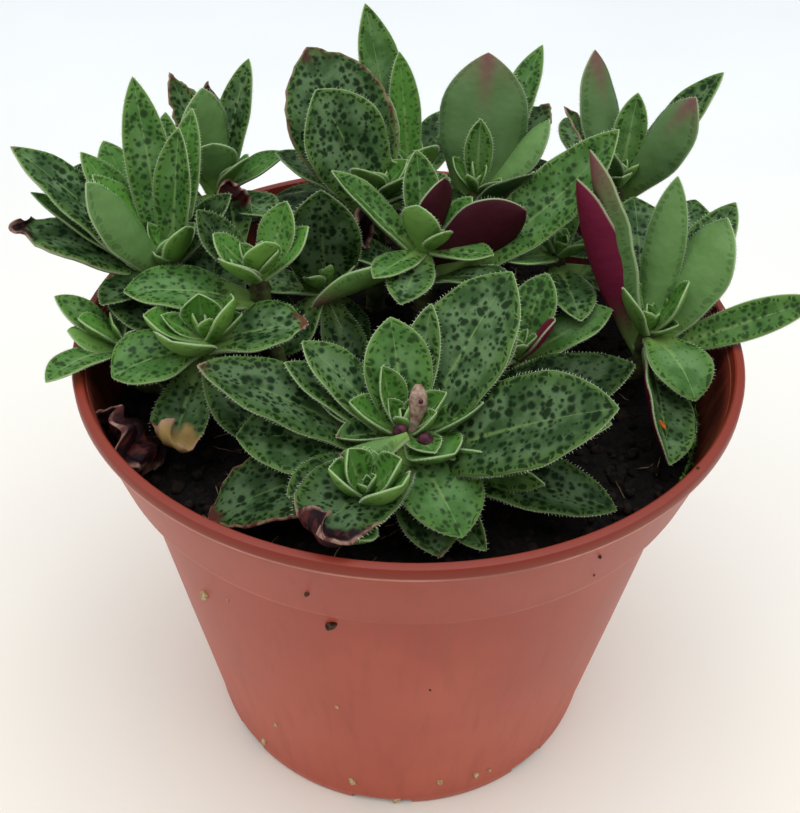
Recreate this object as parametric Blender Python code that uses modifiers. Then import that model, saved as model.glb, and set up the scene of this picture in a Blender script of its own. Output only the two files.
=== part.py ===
"""A jade tiger crassula in its nursery pot.

The plant is a clump of leafy stems. Each stem with its leaves is one body, and it stands in a hole in
the soil. The pot is thin moulded plastic with a collar, drain holes and a notched foot ring.

The frame: the origin is the middle of the pot's underside, +Z is up, and the front is towards -Y.
"""

import math
from typing import NamedTuple

import bmesh
import bpy
import numpy as np
from mathutils import Vector
from mathutils.bvhtree import BVHTree

MM = 0.001

# Pot, in mm
RIM_RADIUS = 42.5
POT_HEIGHT = 66.0
COLLAR_HEIGHT = 12.5
COLLAR_FOOT_RADIUS = 39.2
STEP_HEIGHT = 1.8
BODY_TOP_RADIUS = 37.2
BASE_RADIUS = 30.0
WALL = 0.8
LIP_WIDTH = 1.2
LIP_DEPTH = 1.0
FOOT_RING_INNER_RADIUS = 27.5
FLOOR_UNDERSIDE = 2.0
CENTRE_DISC_RADIUS = 13.0
POT_STEPS = 40

DRAIN_HOLES = 8
DRAIN_HOLE_RADIUS = 2.6
DRAIN_RING_RADIUS = 20.0

# Notches in the foot ring: wide and narrow ones in turn, with the first one in front, in degrees
NOTCHES = 8
FIRST_NOTCH = -94.0
NOTCH_WIDTHS = (17.0, 12.0)
NOTCH_HEIGHT = 1.4

# Soil, in mm
SOIL_LEVEL = 55.0
SOIL_CROWN = 1.2
SOIL_GAP = 0.3
SOIL_STEPS = 28
STEM_HOLE_DEPTH = 11.0
STEM_GAP = 0.3

# Leaf blades
BLADE_SIDES = 4
BLADE_RINGS = 6
SHORT_BLADE_RINGS = 4
SHORT_BLADE = 10.5
ROOT_WIDTH = 0.30
SWELL = 2.118
SWELL_POWER = 1.216
TIP_POWER = 2.2
TIP_BLUNTNESS = 0.9
DROP_PER_LENGTH = 0.25
NO_DROP_LENGTH = 8.0
UPRIGHT_TOP = 5.0
BRANCH_TOP = 2.5
ROOT_OFF_AXIS = 0.4
STEM_OVER_CROWN = 0.8
CLEARANCE = 0.35
FREE_FROM = 0.45

# Lower leaves that fill gaps: length and drop in mm, width over length, and rise in degrees
OLD_LENGTHS = (16.0, 22.0)
OLD_WIDTHS = (0.36, 0.42)
OLD_RISES = (0.0, 35.0)
OLD_DROPS = (3.5, 7.0)
OLD_CURL = -25.0


class Leaf(NamedTuple):
    """A leaf's direction at mid length in degrees, its length and width in mm, and how its blade bends.

    Azimuth 0 is +X and 90 is +Y. Curl is how much the rise changes from root to tip, fold is how far the
    margins stand above the midrib over the half width, and twist turns the blade about its own line. A
    drop puts the leaf's root that far below the middle of the rosette.
    """

    azimuth: float
    rise: float
    length: float
    width: float
    curl: float = -15.0
    fold: float = 0.2
    twist: float = 0.0
    drop: float = 0.0


class Shoot(NamedTuple):
    """A leafy stem, in mm: its node, where it starts, the middle of its rosette, its radius and its leaves.

    A start of (x, y) is where it leaves the soil. A start of (x, y, z) is inside the stem that it branches
    from. One without leaves is the stub of a flower stalk.
    """

    node: str
    start: tuple
    crown: tuple
    radius: float
    leaves: tuple
    old_leaves: int
    seed: int


class Blade(NamedTuple):
    """A blade's points, by how far each lies along, across and up the blade, its faces and its outer ones."""

    along: np.ndarray
    across: np.ndarray
    up: np.ndarray
    faces: list
    outer_faces: list


SHOOTS = {
    "front": Shoot("rosette_front", (2, -16), (0, -21, 65), 1.7, (
        Leaf(45, 50, 25, 12.5, -10),
        Leaf(-16, 33, 27, 12, -15, 0.2, 25),
        Leaf(173, 26, 26.3, 10),
        Leaf(-177, 8, 19.3, 11, -15, 0.2, -15),
        Leaf(-114, 9, 24, 10.5, -42),
        Leaf(14, 22, 29, 11.5),
        Leaf(47, 29, 21, 8.5),
        Leaf(106, 60, 14.8, 8),
        Leaf(155, 40, 17, 7),
        Leaf(-63, -9, 14, 9.5, -30),
        Leaf(-159, -6, 23.7, 12, -30),
        Leaf(-17, 0, 24.6, 9.5),
        Leaf(5, 14, 24, 5, 0, 0.3, 20),
        Leaf(-31, 9, 19, 5.5, -10, 0.2, 90),
        Leaf(-72, -22, 14, 7.5),
        Leaf(-52, -23, 15, 4.5, 0, 0.6, 40),
        Leaf(-175, -10, 18, 9),
        Leaf(160, 32, 16.9, 6),
        Leaf(76, 62, 16.8, 4.5, 0, 0.5),
        Leaf(166, 28, 13, 6.5, 30, 0.5),
        Leaf(-175, 40, 8, 5, 30, 0.5),
        Leaf(140, 62, 9, 4, 30, 0.6),
        Leaf(15, 50, 6.6, 4, 30, 0.6),
        Leaf(0, 34, 10, 4, 30, 0.6),
        Leaf(-12, -4, 9.4, 6, -10),
        Leaf(-48, 20, 8.5, 7, 60, 0.3),
        Leaf(-163, 10, 8, 4, 0, 0.6),
        Leaf(-60, 12, 6.5, 4, 0, 0.3),
    ), 2, 1),
    "offset": Shoot("rosette_front", (0, -21, 60), (-4, -31.8, 65.2), 1.1, (
        Leaf(-122, 14, 8.5, 9, 60, 0.3),
        Leaf(-165, 50, 6, 5, 30, 0.5),
        Leaf(150, 72, 6, 4.5, 30, 0.5),
        Leaf(-47, 41, 8, 6, 30, 0.4),
        Leaf(8, 57, 6, 5, 30, 0.5),
        Leaf(95, 70, 5, 4, 30, 0.5),
    ), 0, 2),
    "flower_stalk": Shoot("rosette_front", (0, -21, 63), (1.2, -20, 71.5), 0.8, (), 0, 0),
    "middle": Shoot("rosette_middle", (2, 5), (2, 8, 72), 1.5, (
        Leaf(12, 40, 32, 9, 40, 0.3, 25),
        Leaf(105, 65, 14, 5, 0, 0.5),
        Leaf(30, 45, 9, 5, 20),
        Leaf(-120, 75, 8, 6, 30),
        Leaf(160, 40, 17, 5, 0, 0.5),
        Leaf(172, 20, 13, 6, 0, 0.4, 0, 5),
        Leaf(13, 32, 14.6, 8.5, 0, 0.2, -85),
        Leaf(33, 64, 10.7, 6.5, 0, 0.2, -75),
        Leaf(-60, 60, 6, 4, 30),
        Leaf(-20, 10, 9, 5, 0),
        Leaf(-162, -16, 16, 5.5, -15, 0.3, 60),
        Leaf(-106, -4, 11, 6),
        Leaf(170, -10, 15, 5),
        Leaf(-130, 5, 10, 5),
    ), 2, 3),
    "right": Shoot("rosette_right", (27, 0), (31, -1, 66), 1.6, (
        Leaf(142, 63, 29, 6.5, 10, 0.6, 55),
        Leaf(148, 56, 26, 6.5, 25, 0.7, 60),
        Leaf(-102, 110, 23.6, 5.2, 0, 0.3),
        Leaf(-146, 122, 19.6, 9, 0, 0.3),
        Leaf(47, 61, 22.6, 7),
        Leaf(-6, 26, 22, 4.8, 0, 0.3, 45),
        Leaf(-69, -7, 12, 8, -60),
        Leaf(-88, -14, 18, 8, -10, 0.5, -35),
        Leaf(95, 51, 21, 11),
        Leaf(67, 48, 23, 11),
        Leaf(-160, 60, 9, 5, 20),
        Leaf(-10, 70, 9, 5, 20),
    ), 0, 4),
    "bud": Shoot("rosette_bud", (-17, -1), (-19, 0, 72), 1.4, (
        Leaf(-168, 13, 16.9, 10, -20, 0.2, 0, 4),
        Leaf(165, 45, 7.6, 5, 20),
        Leaf(58, 56, 10.6, 5.5, 20),
        Leaf(-60, 70, 7, 5, 20),
        Leaf(25, 50, 9, 5, 20),
        Leaf(152, 50, 11.8, 6, 20),
        Leaf(-120, 45, 8, 5, 20),
    ), 0, 14),
    "cup": Shoot("rosette_cup", (-22, -6), (-25, -8, 68), 1.4, (
        Leaf(14, 13, 12.8, 10),
        Leaf(-110, 35, 8, 8, 60, 0.3),
        Leaf(105, 60, 6, 5, 40, 0.4),
        Leaf(-150, -3, 11.5, 11),
        Leaf(-103, -28, 15, 7),
        Leaf(-10, 60, 8, 6, 40, 0.4),
        Leaf(-170, 60, 8, 6, 40, 0.4),
        Leaf(-60, -20, 14, 6),
    ), 2, 13),
    "left": Shoot("rosette_left", (-27, 4), (-32, 6, 70), 1.6, (
        Leaf(173, 48, 26.7, 9),
        Leaf(-172, 28, 20.8, 9.5),
        Leaf(178, 36, 20.4, 5, 0, 0.3),
        Leaf(33, 118, 19, 7, 0, 0.3, -45),
        Leaf(165, 64, 16, 6),
        Leaf(150, 58, 19.8, 6),
        Leaf(127, 45, 21.5, 7),
        Leaf(110, 68, 28.3, 6),
        Leaf(92, 64, 22.6, 6),
        Leaf(70, 72, 20.4, 5.5, 0, 0.4),
        Leaf(80, 54, 24, 5),
        Leaf(-40, 60, 9, 5, 20),
        Leaf(-120, 25, 12, 6),
        Leaf(35, 42, 13, 6),
    ), 3, 11),
    "low_left": Shoot("rosette_low_left", (-30, -5), (-36, -5, 64.5), 1.3, (
        Leaf(-118, 14, 14, 5, -50),
        Leaf(170, 42, 10.6, 5),
        Leaf(24, 140, 8, 5.5, 0),
        Leaf(-155, 50, 7, 5),
        Leaf(70, 50, 9, 5),
    ), 1, 12),
    "centre": Shoot("rosette_centre", (-11, 6), (-11.5, 7, 66), 1.3, (
        Leaf(98, 62, 17.4, 10),
        Leaf(10, 42, 7.4, 4, 20),
        Leaf(-30, -25, 9.5, 5.5),
        Leaf(-130, -15, 10, 6),
        Leaf(180, 10, 11, 6),
        Leaf(40, 10, 11, 6),
        Leaf(135, 50, 14, 7),
        Leaf(-60, -12, 12, 6),
    ), 0, 16),
    "inner": Shoot("rosette_inner", (14, -4), (14, -3, 63), 1.3, (
        Leaf(60, 55, 12, 6),
        Leaf(15, 30, 14, 7),
        Leaf(120, 40, 13, 6),
        Leaf(-150, 15, 10, 5),
        Leaf(-60, 15, 12, 6),
        Leaf(-20, 60, 8, 5, 20),
    ), 1, 15),
    "back_right": Shoot("rosette_back_right", (25, 16), (28.5, 19.5, 76), 1.5, (
        Leaf(-59, 116, 21.4, 6.5, 0, 0.3),
        Leaf(72, 74, 13.6, 4.5),
        Leaf(20, 55, 22, 7),
        Leaf(167, 117, 18, 8, 0, 0.3, 40),
        Leaf(145, 47, 14, 4),
        Leaf(-150, 60, 9, 5),
        Leaf(110, 15, 18, 7),
    ), 1, 5),
    "behind": Shoot("rosette_behind", (16, 10), (20, 12, 69), 1.4, (
        Leaf(150, 10, 14, 6),
        Leaf(-150, 40, 10, 6),
        Leaf(-20, 0, 16, 7),
        Leaf(-80, 0, 14, 6),
        Leaf(90, 60, 12, 6),
    ), 2, 6),
    "back": Shoot("rosette_back", (0, 22), (0, 25, 73), 1.5, (
        Leaf(126, 66, 29.2, 7.5, 10, 0.3),
        Leaf(107, 68, 20.5, 4.6, 0, 0.3),
        Leaf(-60, 60, 9, 5),
        Leaf(60, 35, 14, 7),
    ), 4, 7),
    "back_left": Shoot("rosette_back_left", (-5, 17), (-5, 19.5, 73), 1.5, (
        Leaf(138, 60, 25.8, 15, -15, 0.2, -25),
        Leaf(168, 66, 19.5, 12, -15, 0.2, -45),
        Leaf(91, 56, 19.5, 7),
        Leaf(-45, 45, 10, 5),
        Leaf(-20, 30, 12, 6),
        Leaf(165, 25, 16, 7),
        Leaf(-110, 55, 9, 5),
    ), 3, 9),
    "back_middle": Shoot("rosette_back_middle", (9, 19), (9, 22, 73), 1.5, (
        Leaf(-97, 110, 22.3, 12.5, 0, 0.3),
        Leaf(58, 54, 26.5, 5.5, -15, 0.3),
        Leaf(48, 36, 19, 8),
        Leaf(-158, 131, 15.8, 6.5, 0, 0.3),
        Leaf(88, 82, 11.1, 4, 0, 0.3),
        Leaf(30, 12, 13, 7),
    ), 4, 8),
    "far_left": Shoot("rosette_far_left", (-24, 20), (-28, 23, 72), 1.5, (
        Leaf(61, 64, 21.4, 5.5),
        Leaf(-50, 104, 17, 7.5, 0, 0.3),
        Leaf(136, 65, 19.3, 5.5),
        Leaf(116, 43, 19.5, 6),
        Leaf(98, 66, 17, 5.5),
        Leaf(20, 26, 11.3, 5.5),
        Leaf(-75, 74, 9, 6.5),
        Leaf(-20, 55, 8, 5),
        Leaf(-45, 10, 13, 7),
        Leaf(-100, 5, 12, 6),
    ), 4, 10),
}

# The shrivelled leaf that leans from the soil to the pot's wall: its root in mm, and its blade
DEAD_LEAF_ROOT = (-30.0, -16.0, 56.6)
DEAD_LEAF = Leaf(-145, 45, 10, 10, 30, -0.45)


def clear_scene():
    """Remove the startup objects."""
    for obj in list(bpy.data.objects):
        bpy.data.objects.remove(obj, do_unlink=True)


def material(name, hex_colour, roughness):
    """A Principled material with an sRGB hex colour."""
    mat = bpy.data.materials.new(name)
    mat.use_nodes = True
    shader = mat.node_tree.nodes["Principled BSDF"]
    channels = [int(hex_colour[i : i + 2], 16) / 255 for i in (1, 3, 5)]
    linear = [c / 12.92 if c <= 0.04045 else ((c + 0.055) / 1.055) ** 2.4 for c in channels]
    shader.inputs["Base Color"].default_value = (*linear, 1.0)
    shader.inputs["Roughness"].default_value = roughness
    return mat


def add_object(name, mesh, collection, mat=None):
    """A new object of this mesh in a collection."""
    obj = bpy.data.objects.new(name, mesh)
    collection.objects.link(obj)
    if mat is not None:
        obj.data.materials.append(mat)
    return obj


def turned(name, profile, steps, collection, mat):
    """A profile of (radius, height) in mm turned about Z."""
    mesh = bpy.data.meshes.new(name)
    points = [(r * MM, 0.0, z * MM) for r, z in profile]
    mesh.from_pydata(points, [(i, i + 1) for i in range(len(points) - 1)], [])
    obj = add_object(name, mesh, collection, mat)
    screw = obj.modifiers.new("turn", "SCREW")
    screw.steps = steps
    screw.render_steps = steps
    screw.use_merge_vertices = True
    screw.merge_threshold = 1e-5
    return obj


def bake(obj):
    """Replace an object's mesh by its evaluated one and drop its modifiers."""
    graph = bpy.context.evaluated_depsgraph_get()
    shown = obj.evaluated_get(graph)
    mesh = bpy.data.meshes.new_from_object(shown, preserve_all_data_layers=True, depsgraph=graph)
    obj.modifiers.clear()
    obj.data = mesh


def boolean(obj, others, operation, solver):
    """Cut a collection of solids from an object or fuse them into it, then remove the collection."""
    cut = obj.modifiers.new("boolean", "BOOLEAN")
    cut.operand_type = "COLLECTION"
    cut.collection = others
    cut.operation = operation
    cut.solver = solver
    bake(obj)
    for other in list(others.objects):
        bpy.data.objects.remove(other, do_unlink=True)
    bpy.data.collections.remove(others)


def keep_main_shell(mesh):
    """Keep the largest connected shell: hollows that fusing sealed are filled, loose scraps are dropped."""
    bm = bmesh.new()
    bm.from_mesh(mesh)
    bmesh.ops.triangulate(bm, faces=bm.faces)
    seen = set()
    shells = []
    for start in bm.faces:
        if start in seen:
            continue
        shell, waiting = [], [start]
        seen.add(start)
        while waiting:
            face = waiting.pop()
            shell.append(face)
            for edge in face.edges:
                if len(edge.link_faces) > 2:
                    continue
                for other in edge.link_faces:
                    if other not in seen:
                        seen.add(other)
                        waiting.append(other)
        shells.append(shell)
    shells.sort(key=len)
    for shell in shells[:-1]:
        bmesh.ops.delete(bm, geom=shell, context="FACES")
    bm.to_mesh(mesh)
    bm.free()


def new_collection(name):
    """A collection linked to the scene."""
    collection = bpy.data.collections.new(name)
    bpy.context.scene.collection.children.link(collection)
    return collection


def cylinder(name, radius, bottom, top, place, sides, collection):
    """A closed upright cylinder, in mm."""
    mesh = bpy.data.meshes.new(name)
    bm = bmesh.new()
    bmesh.ops.create_cone(
        bm,
        cap_ends=True,
        segments=sides,
        radius1=radius * MM,
        radius2=radius * MM,
        depth=(top - bottom) * MM,
    )
    bmesh.ops.translate(bm, verts=bm.verts, vec=(place[0] * MM, place[1] * MM, (top + bottom) / 2 * MM))
    bm.to_mesh(mesh)
    bm.free()
    return add_object(name, mesh, collection)


def wall_radius(height):
    """The pot's outer radius at a height, in mm."""
    collar_foot = POT_HEIGHT - COLLAR_HEIGHT
    body_top = collar_foot - STEP_HEIGHT
    heights = (0.0, body_top, collar_foot, POT_HEIGHT)
    return float(np.interp(height, heights, (BASE_RADIUS, BODY_TOP_RADIUS, COLLAR_FOOT_RADIUS, RIM_RADIUS)))


def pot_profile():
    """The pot's section: from the underside's middle out, up the outside, over the lip and down inside."""
    collar_foot = POT_HEIGHT - COLLAR_HEIGHT
    body_top = collar_foot - STEP_HEIGHT
    lip_foot = POT_HEIGHT - LIP_DEPTH
    under = [
        (0.0, 0.0),
        (CENTRE_DISC_RADIUS, 0.0),
        (CENTRE_DISC_RADIUS + 1.0, FLOOR_UNDERSIDE),
        (FOOT_RING_INNER_RADIUS - 0.5, FLOOR_UNDERSIDE),
        (FOOT_RING_INNER_RADIUS, 0.0),
    ]
    outside = [
        (BASE_RADIUS - 0.4, 0.0),
        (wall_radius(0.4), 0.4),
        (BODY_TOP_RADIUS, body_top),
        (COLLAR_FOOT_RADIUS, collar_foot),
        (wall_radius(lip_foot) - 0.3, lip_foot),
        (RIM_RADIUS, lip_foot),
        (RIM_RADIUS, POT_HEIGHT - 0.3),
        (RIM_RADIUS - 0.3, POT_HEIGHT),
    ]
    inside = [
        (RIM_RADIUS - LIP_WIDTH, POT_HEIGHT),
        (COLLAR_FOOT_RADIUS - WALL, collar_foot),
        (BODY_TOP_RADIUS - WALL, body_top),
        (BASE_RADIUS - WALL, FLOOR_UNDERSIDE + WALL),
        (CENTRE_DISC_RADIUS + 1.0 - WALL / 2, FLOOR_UNDERSIDE + WALL),
        (CENTRE_DISC_RADIUS - WALL / 2, WALL),
        (0.0, WALL),
    ]
    return (under + outside + inside)[::-1]


def make_pot(parts):
    """The pot with its drain holes and the notches in its foot ring."""
    pot = turned("pot", pot_profile(), POT_STEPS, parts, material("terracotta_plastic", "#B0604C", 0.42))
    bake(pot)
    cutters = new_collection("pot_cutters")
    for i in range(DRAIN_HOLES):
        angle = 2 * math.pi * (i + 0.5) / DRAIN_HOLES
        place = (DRAIN_RING_RADIUS * math.cos(angle), DRAIN_RING_RADIUS * math.sin(angle))
        above_floor = FLOOR_UNDERSIDE + WALL + 1
        cylinder(f"drain_{i}", DRAIN_HOLE_RADIUS, FLOOR_UNDERSIDE - 1, above_floor, place, 12, cutters)
    for i in range(NOTCHES):
        azimuth = FIRST_NOTCH + i * 360 / NOTCHES
        notch_cutter(f"notch_{i}", azimuth, NOTCH_WIDTHS[i % 2], cutters)
    boolean(pot, cutters, "DIFFERENCE", "EXACT")
    return pot


def notch_cutter(name, azimuth, width, collection):
    """A block that takes the lowest part of the foot ring away over some degrees."""
    inner, outer = FOOT_RING_INNER_RADIUS - 1.5, BASE_RADIUS + 2
    half = math.radians(width / 2)
    bm = bmesh.new()
    bmesh.ops.create_cube(bm, size=1.0)
    for vert in bm.verts:
        radius = outer if vert.co.x > 0 else inner
        angle = math.radians(azimuth) + (half if vert.co.y > 0 else -half)
        height = NOTCH_HEIGHT if vert.co.z > 0 else -1.0
        vert.co = Vector((radius * math.cos(angle), radius * math.sin(angle), height)) * MM
    mesh = bpy.data.meshes.new(name)
    bm.to_mesh(mesh)
    bm.free()
    return add_object(name, mesh, collection)


def soil_height(x, y):
    """The soil's surface in mm: a low mound with a few soft lumps."""
    reach = math.hypot(x, y) / COLLAR_FOOT_RADIUS
    lumps = 0.35 * math.sin(0.31 * x + 0.9) * math.cos(0.27 * y - 0.4) + 0.25 * math.sin(0.52 * y + 0.2 * x)
    return SOIL_LEVEL + SOIL_CROWN * (1 - reach**2) + lumps


def make_soil(parts):
    """The potting soil, with a plain hole for each stem."""
    collar_foot = POT_HEIGHT - COLLAR_HEIGHT
    body_top = collar_foot - STEP_HEIGHT
    side = WALL + SOIL_GAP
    rise = COLLAR_FOOT_RADIUS - BODY_TOP_RADIUS
    bottom = FLOOR_UNDERSIDE + WALL + SOIL_GAP
    top_rings = [wall_radius(SOIL_LEVEL) - side - 0.2, 29.0, 19.0, 9.0]
    outline = [(0.0, bottom), (wall_radius(bottom) - side - 0.3, bottom)]
    outline += [(BODY_TOP_RADIUS - side, body_top - 0.2), (BODY_TOP_RADIUS - side + rise, collar_foot + 0.2)]
    outline += [(r, SOIL_LEVEL) for r in top_rings] + [(0.0, SOIL_LEVEL)]
    soil = turned("soil", outline[::-1], SOIL_STEPS, parts, material("potting_soil", "#241D1A", 0.95))
    bake(soil)
    for vert in soil.data.vertices:
        if vert.co.z > (SOIL_LEVEL - 0.1) * MM:
            vert.co.z = soil_height(vert.co.x / MM, vert.co.y / MM) * MM
    cutters = new_collection("soil_cutters")
    bottom_of_hole, above_soil = SOIL_LEVEL - STEM_HOLE_DEPTH, SOIL_LEVEL + 6
    for shoot in SHOOTS.values():
        if len(shoot.start) == 2:
            radius = shoot.radius + STEM_GAP
            cylinder(f"hole_{shoot.node}", radius, bottom_of_hole, above_soil, shoot.start, 12, cutters)
    boolean(soil, cutters, "DIFFERENCE", "EXACT")
    return soil


def stem_path(shoot):
    """Points up a stem's middle: straight out of the soil, leaning across, and upright in the rosette."""
    crown = np.array(shoot.crown, float)
    below = crown - (0, 0, UPRIGHT_TOP)
    top = crown + (0, 0, STEM_OVER_CROWN)
    if len(shoot.start) == 3:
        return [np.array(shoot.start, float), top - (0, 0, BRANCH_TOP), top]
    foot = np.array([*shoot.start, SOIL_LEVEL - STEM_HOLE_DEPTH + STEM_GAP])
    out = np.array([*shoot.start, SOIL_LEVEL + 2.0])
    points = [foot, out]
    for t in (0.35, 0.7):
        ease = t * t * (3 - 2 * t)
        level = out + (below - out) * t
        level[:2] = out[:2] + (below - out)[:2] * ease
        points.append(level)
    return points + [below, top]


def make_stem(name, shoot, collection, mat):
    """The stem as a closed tube."""
    curve = bpy.data.curves.new(name, "CURVE")
    curve.dimensions = "3D"
    curve.bevel_depth = shoot.radius * MM
    curve.bevel_resolution = 2
    curve.use_fill_caps = True
    points = stem_path(shoot)
    spline = curve.splines.new("POLY")
    spline.points.add(len(points) - 1)
    for place, point in zip(spline.points, points):
        place.co = (*(point * MM), 1.0)
    guide = bpy.data.objects.new(name + "_guide", curve)
    collection.objects.link(guide)
    graph = bpy.context.evaluated_depsgraph_get()
    mesh = bpy.data.meshes.new_from_object(guide.evaluated_get(graph), depsgraph=graph)
    bm = bmesh.new()
    bm.from_mesh(mesh)
    bmesh.ops.remove_doubles(bm, verts=bm.verts, dist=1e-6)
    bm.to_mesh(mesh)
    bm.free()
    mesh.materials.clear()
    obj = add_object(name, mesh, collection, mat)
    obj.matrix_world = guide.matrix_world
    bpy.data.objects.remove(guide, do_unlink=True)
    return obj


def leaf_root(shoot, leaf):
    """Where a leaf leaves the stem's middle: the longer leaves are older and lower."""
    drop = leaf.drop or min(max(DROP_PER_LENGTH * (leaf.length - NO_DROP_LENGTH), -0.5), 5.0)
    points = stem_path(shoot)
    height = shoot.crown[2] - drop
    heights = [p[2] for p in points]
    middle = np.array([np.interp(height, heights, [p[i] for p in points]) for i in (0, 1)] + [height])
    azimuth = math.radians(leaf.azimuth)
    return middle + ROOT_OFF_AXIS * np.array([math.cos(azimuth), math.sin(azimuth), 0.0])


def unit_blade(rings):
    """A small sphere's points and faces, as (along, across, up) of a blade."""
    bm = bmesh.new()
    bmesh.ops.create_uvsphere(bm, u_segments=BLADE_SIDES, v_segments=rings, radius=1.0)
    points = np.array([v.co for v in bm.verts])
    faces = [[v.index for v in f.verts] for f in bm.faces]
    bm.free()
    along = (1 + points[:, 2]) / 2
    round_ = np.maximum(np.hypot(points[:, 0], points[:, 1]), 1e-9)
    across = np.where(round_ > 1e-6, points[:, 0] / round_, 0)
    up = np.where(round_ > 1e-6, points[:, 1] / round_, 0)
    outer = [f for f in faces if min(along[i] for i in f) > FREE_FROM]
    return Blade(along, across, up, faces, outer)


def blade_for(leaf):
    """The blade that a leaf's points come from: a short leaf's has fewer rings."""
    return BLADES[leaf.length < SHORT_BLADE]


def blade_points(leaf, root, blade, pad=0.0):
    """The leaf's points in mm, made thicker and wider by pad all round."""
    along, across, up = blade.along, blade.across, blade.up
    azimuth = math.radians(leaf.azimuth)
    out = np.array([math.cos(azimuth), math.sin(azimuth), 0.0])
    side = np.array([-math.sin(azimuth), math.cos(azimuth), 0.0])
    upright = np.array([0.0, 0.0, 1.0])
    curl = math.radians(leaf.curl if abs(leaf.curl) > 0.1 else 0.1)
    start = math.radians(leaf.rise) - curl / 2
    angle = (start + curl * along)[:, None]
    middle = ((np.sin(angle) - math.sin(start)) * out + (math.cos(start) - np.cos(angle)) * upright) / curl
    tangent = np.cos(angle) * out + np.sin(angle) * upright
    normal = -np.sin(angle) * out + np.cos(angle) * upright
    twist = math.radians(leaf.twist)
    wide = math.cos(twist) * side + math.sin(twist) * normal
    face = -math.sin(twist) * side + math.cos(twist) * normal
    outline = (ROOT_WIDTH + SWELL * along**SWELL_POWER) * (1 - along**TIP_POWER) ** TIP_BLUNTNESS
    half = leaf.width / 2 * outline
    thick = (0.5 + 0.13 * leaf.width) * np.sqrt(np.maximum(1 - along**3, 0)) + 2 * pad
    spread = half + np.where(np.abs(across) > 1e-6, pad, 0)
    lift = leaf.fold * half * across**2 + up * thick / 2
    ends = ((along > 0.999) * pad)[:, None] * tangent
    return root + middle * leaf.length + wide * (spread * across)[:, None] + face * lift[:, None] + ends


def moves():
    """Small changes of rise, azimuth and length, the smallest first, to clear a leaf from its neighbours."""
    tries = [
        (rise, azimuth, scale)
        for scale in (1.0, 0.9, 0.8)
        for rise in range(-24, 31, 3)
        for azimuth in range(-18, 19, 3)
    ]
    return sorted(tries, key=lambda m: (abs(m[0]) + abs(m[1]) + 90 * (1 - m[2]), m))


MOVES = moves()
BLADES = {short: unit_blade(SHORT_BLADE_RINGS if short else BLADE_RINGS) for short in (False, True)}


def moved(leaf, move):
    """The leaf after one of the moves."""
    return leaf._replace(
        rise=leaf.rise + move[0],
        azimuth=leaf.azimuth + move[1],
        length=leaf.length * move[2],
        width=leaf.width * move[2],
    )


def tree_of(obj):
    """A search tree of an object's faces, in mm."""
    points = [v.co / MM for v in obj.data.vertices]
    return BVHTree.FromPolygons(points, [tuple(p.vertices) for p in obj.data.polygons])


class Thicket:
    """What stands in the pot so far, and which leaves fit beside it."""

    def __init__(self, solids):
        self.solids = solids
        self.stems = []
        self.leaves = []

    def clear(self, node, leaf, root):
        """Whether a leaf crosses nothing of another node, and no outer part of its own rosette's leaves."""
        blade = blade_for(leaf)
        middle = blade_points(leaf, root, blade).mean(axis=0)
        padded = [Vector(p) for p in blade_points(leaf, root, blade, CLEARANCE)]
        whole = BVHTree.FromPolygons(padded, blade.faces)
        if any(whole.overlap(tree) for tree in self.solids):
            return False
        if any(other != node and whole.overlap(tree) for other, tree in self.stems):
            return False
        outer = None
        for owner, centre, reach, whole_tree, outer_tree in self.leaves:
            if np.linalg.norm(centre - middle) > reach + reach_of(leaf):
                continue
            if owner != node:
                if whole.overlap(whole_tree):
                    return False
                continue
            if outer is None:
                plain = [Vector(p) for p in blade_points(leaf, root, blade)]
                outer = BVHTree.FromPolygons(plain, blade.outer_faces)
            if outer.overlap(outer_tree):
                return False
        return True

    def add(self, node, leaf, root):
        """Remember a placed leaf."""
        blade = blade_for(leaf)
        points = blade_points(leaf, root, blade)
        vectors = [Vector(p) for p in points]
        whole = BVHTree.FromPolygons(vectors, blade.faces)
        outer = BVHTree.FromPolygons(vectors, blade.outer_faces)
        self.leaves.append((node, points.mean(axis=0), reach_of(leaf), whole, outer))

    def settle(self, node, leaf, root_of):
        """Place a leaf at the smallest move that clears its neighbours, or not at all."""
        for move in MOVES:
            trial = moved(leaf, move)
            root = root_of(trial)
            if self.clear(node, trial, root):
                self.add(node, trial, root)
                return trial, root
        return None

    def settle_all(self, shoot, leaves):
        """Place leaves on their stem, and leave out those that find no room."""
        places = [self.settle(shoot.node, leaf, lambda trial: leaf_root(shoot, trial)) for leaf in leaves]
        return [place for place in places if place]


def reach_of(leaf):
    """A distance from a leaf's middle that all of it lies within."""
    return leaf.length * 0.75 + 1


def old_leaves(shoot):
    """Lower leaves that fill the widest gaps round a stem."""
    draw = np.random.default_rng(shoot.seed)
    taken = sorted(leaf.azimuth % 360 for leaf in shoot.leaves if leaf.length > 10)
    made = []
    for _ in range(shoot.old_leaves):
        gaps = [((b - a) % 360 or 360, a) for a, b in zip(taken, taken[1:] + taken[:1])]
        gap, start = max(gaps)
        azimuth = (start + gap / 2) % 360
        taken = sorted(taken + [azimuth])
        length = draw.uniform(*OLD_LENGTHS)
        width = length * draw.uniform(*OLD_WIDTHS)
        rise = draw.uniform(*OLD_RISES)
        made.append(Leaf(azimuth, rise, length, width, OLD_CURL, drop=draw.uniform(*OLD_DROPS)))
    return made


def make_leaf(name, points, faces, collection, mat):
    """One leaf as a closed solid, shaped from the small sphere."""
    mesh = bpy.data.meshes.new(name)
    mesh.from_pydata([Vector(p) * MM for p in points], [], faces)
    bm = bmesh.new()
    bm.from_mesh(mesh)
    bmesh.ops.recalc_face_normals(bm, faces=bm.faces)
    bm.to_mesh(mesh)
    bm.free()
    return add_object(name, mesh, collection, mat)


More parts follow.
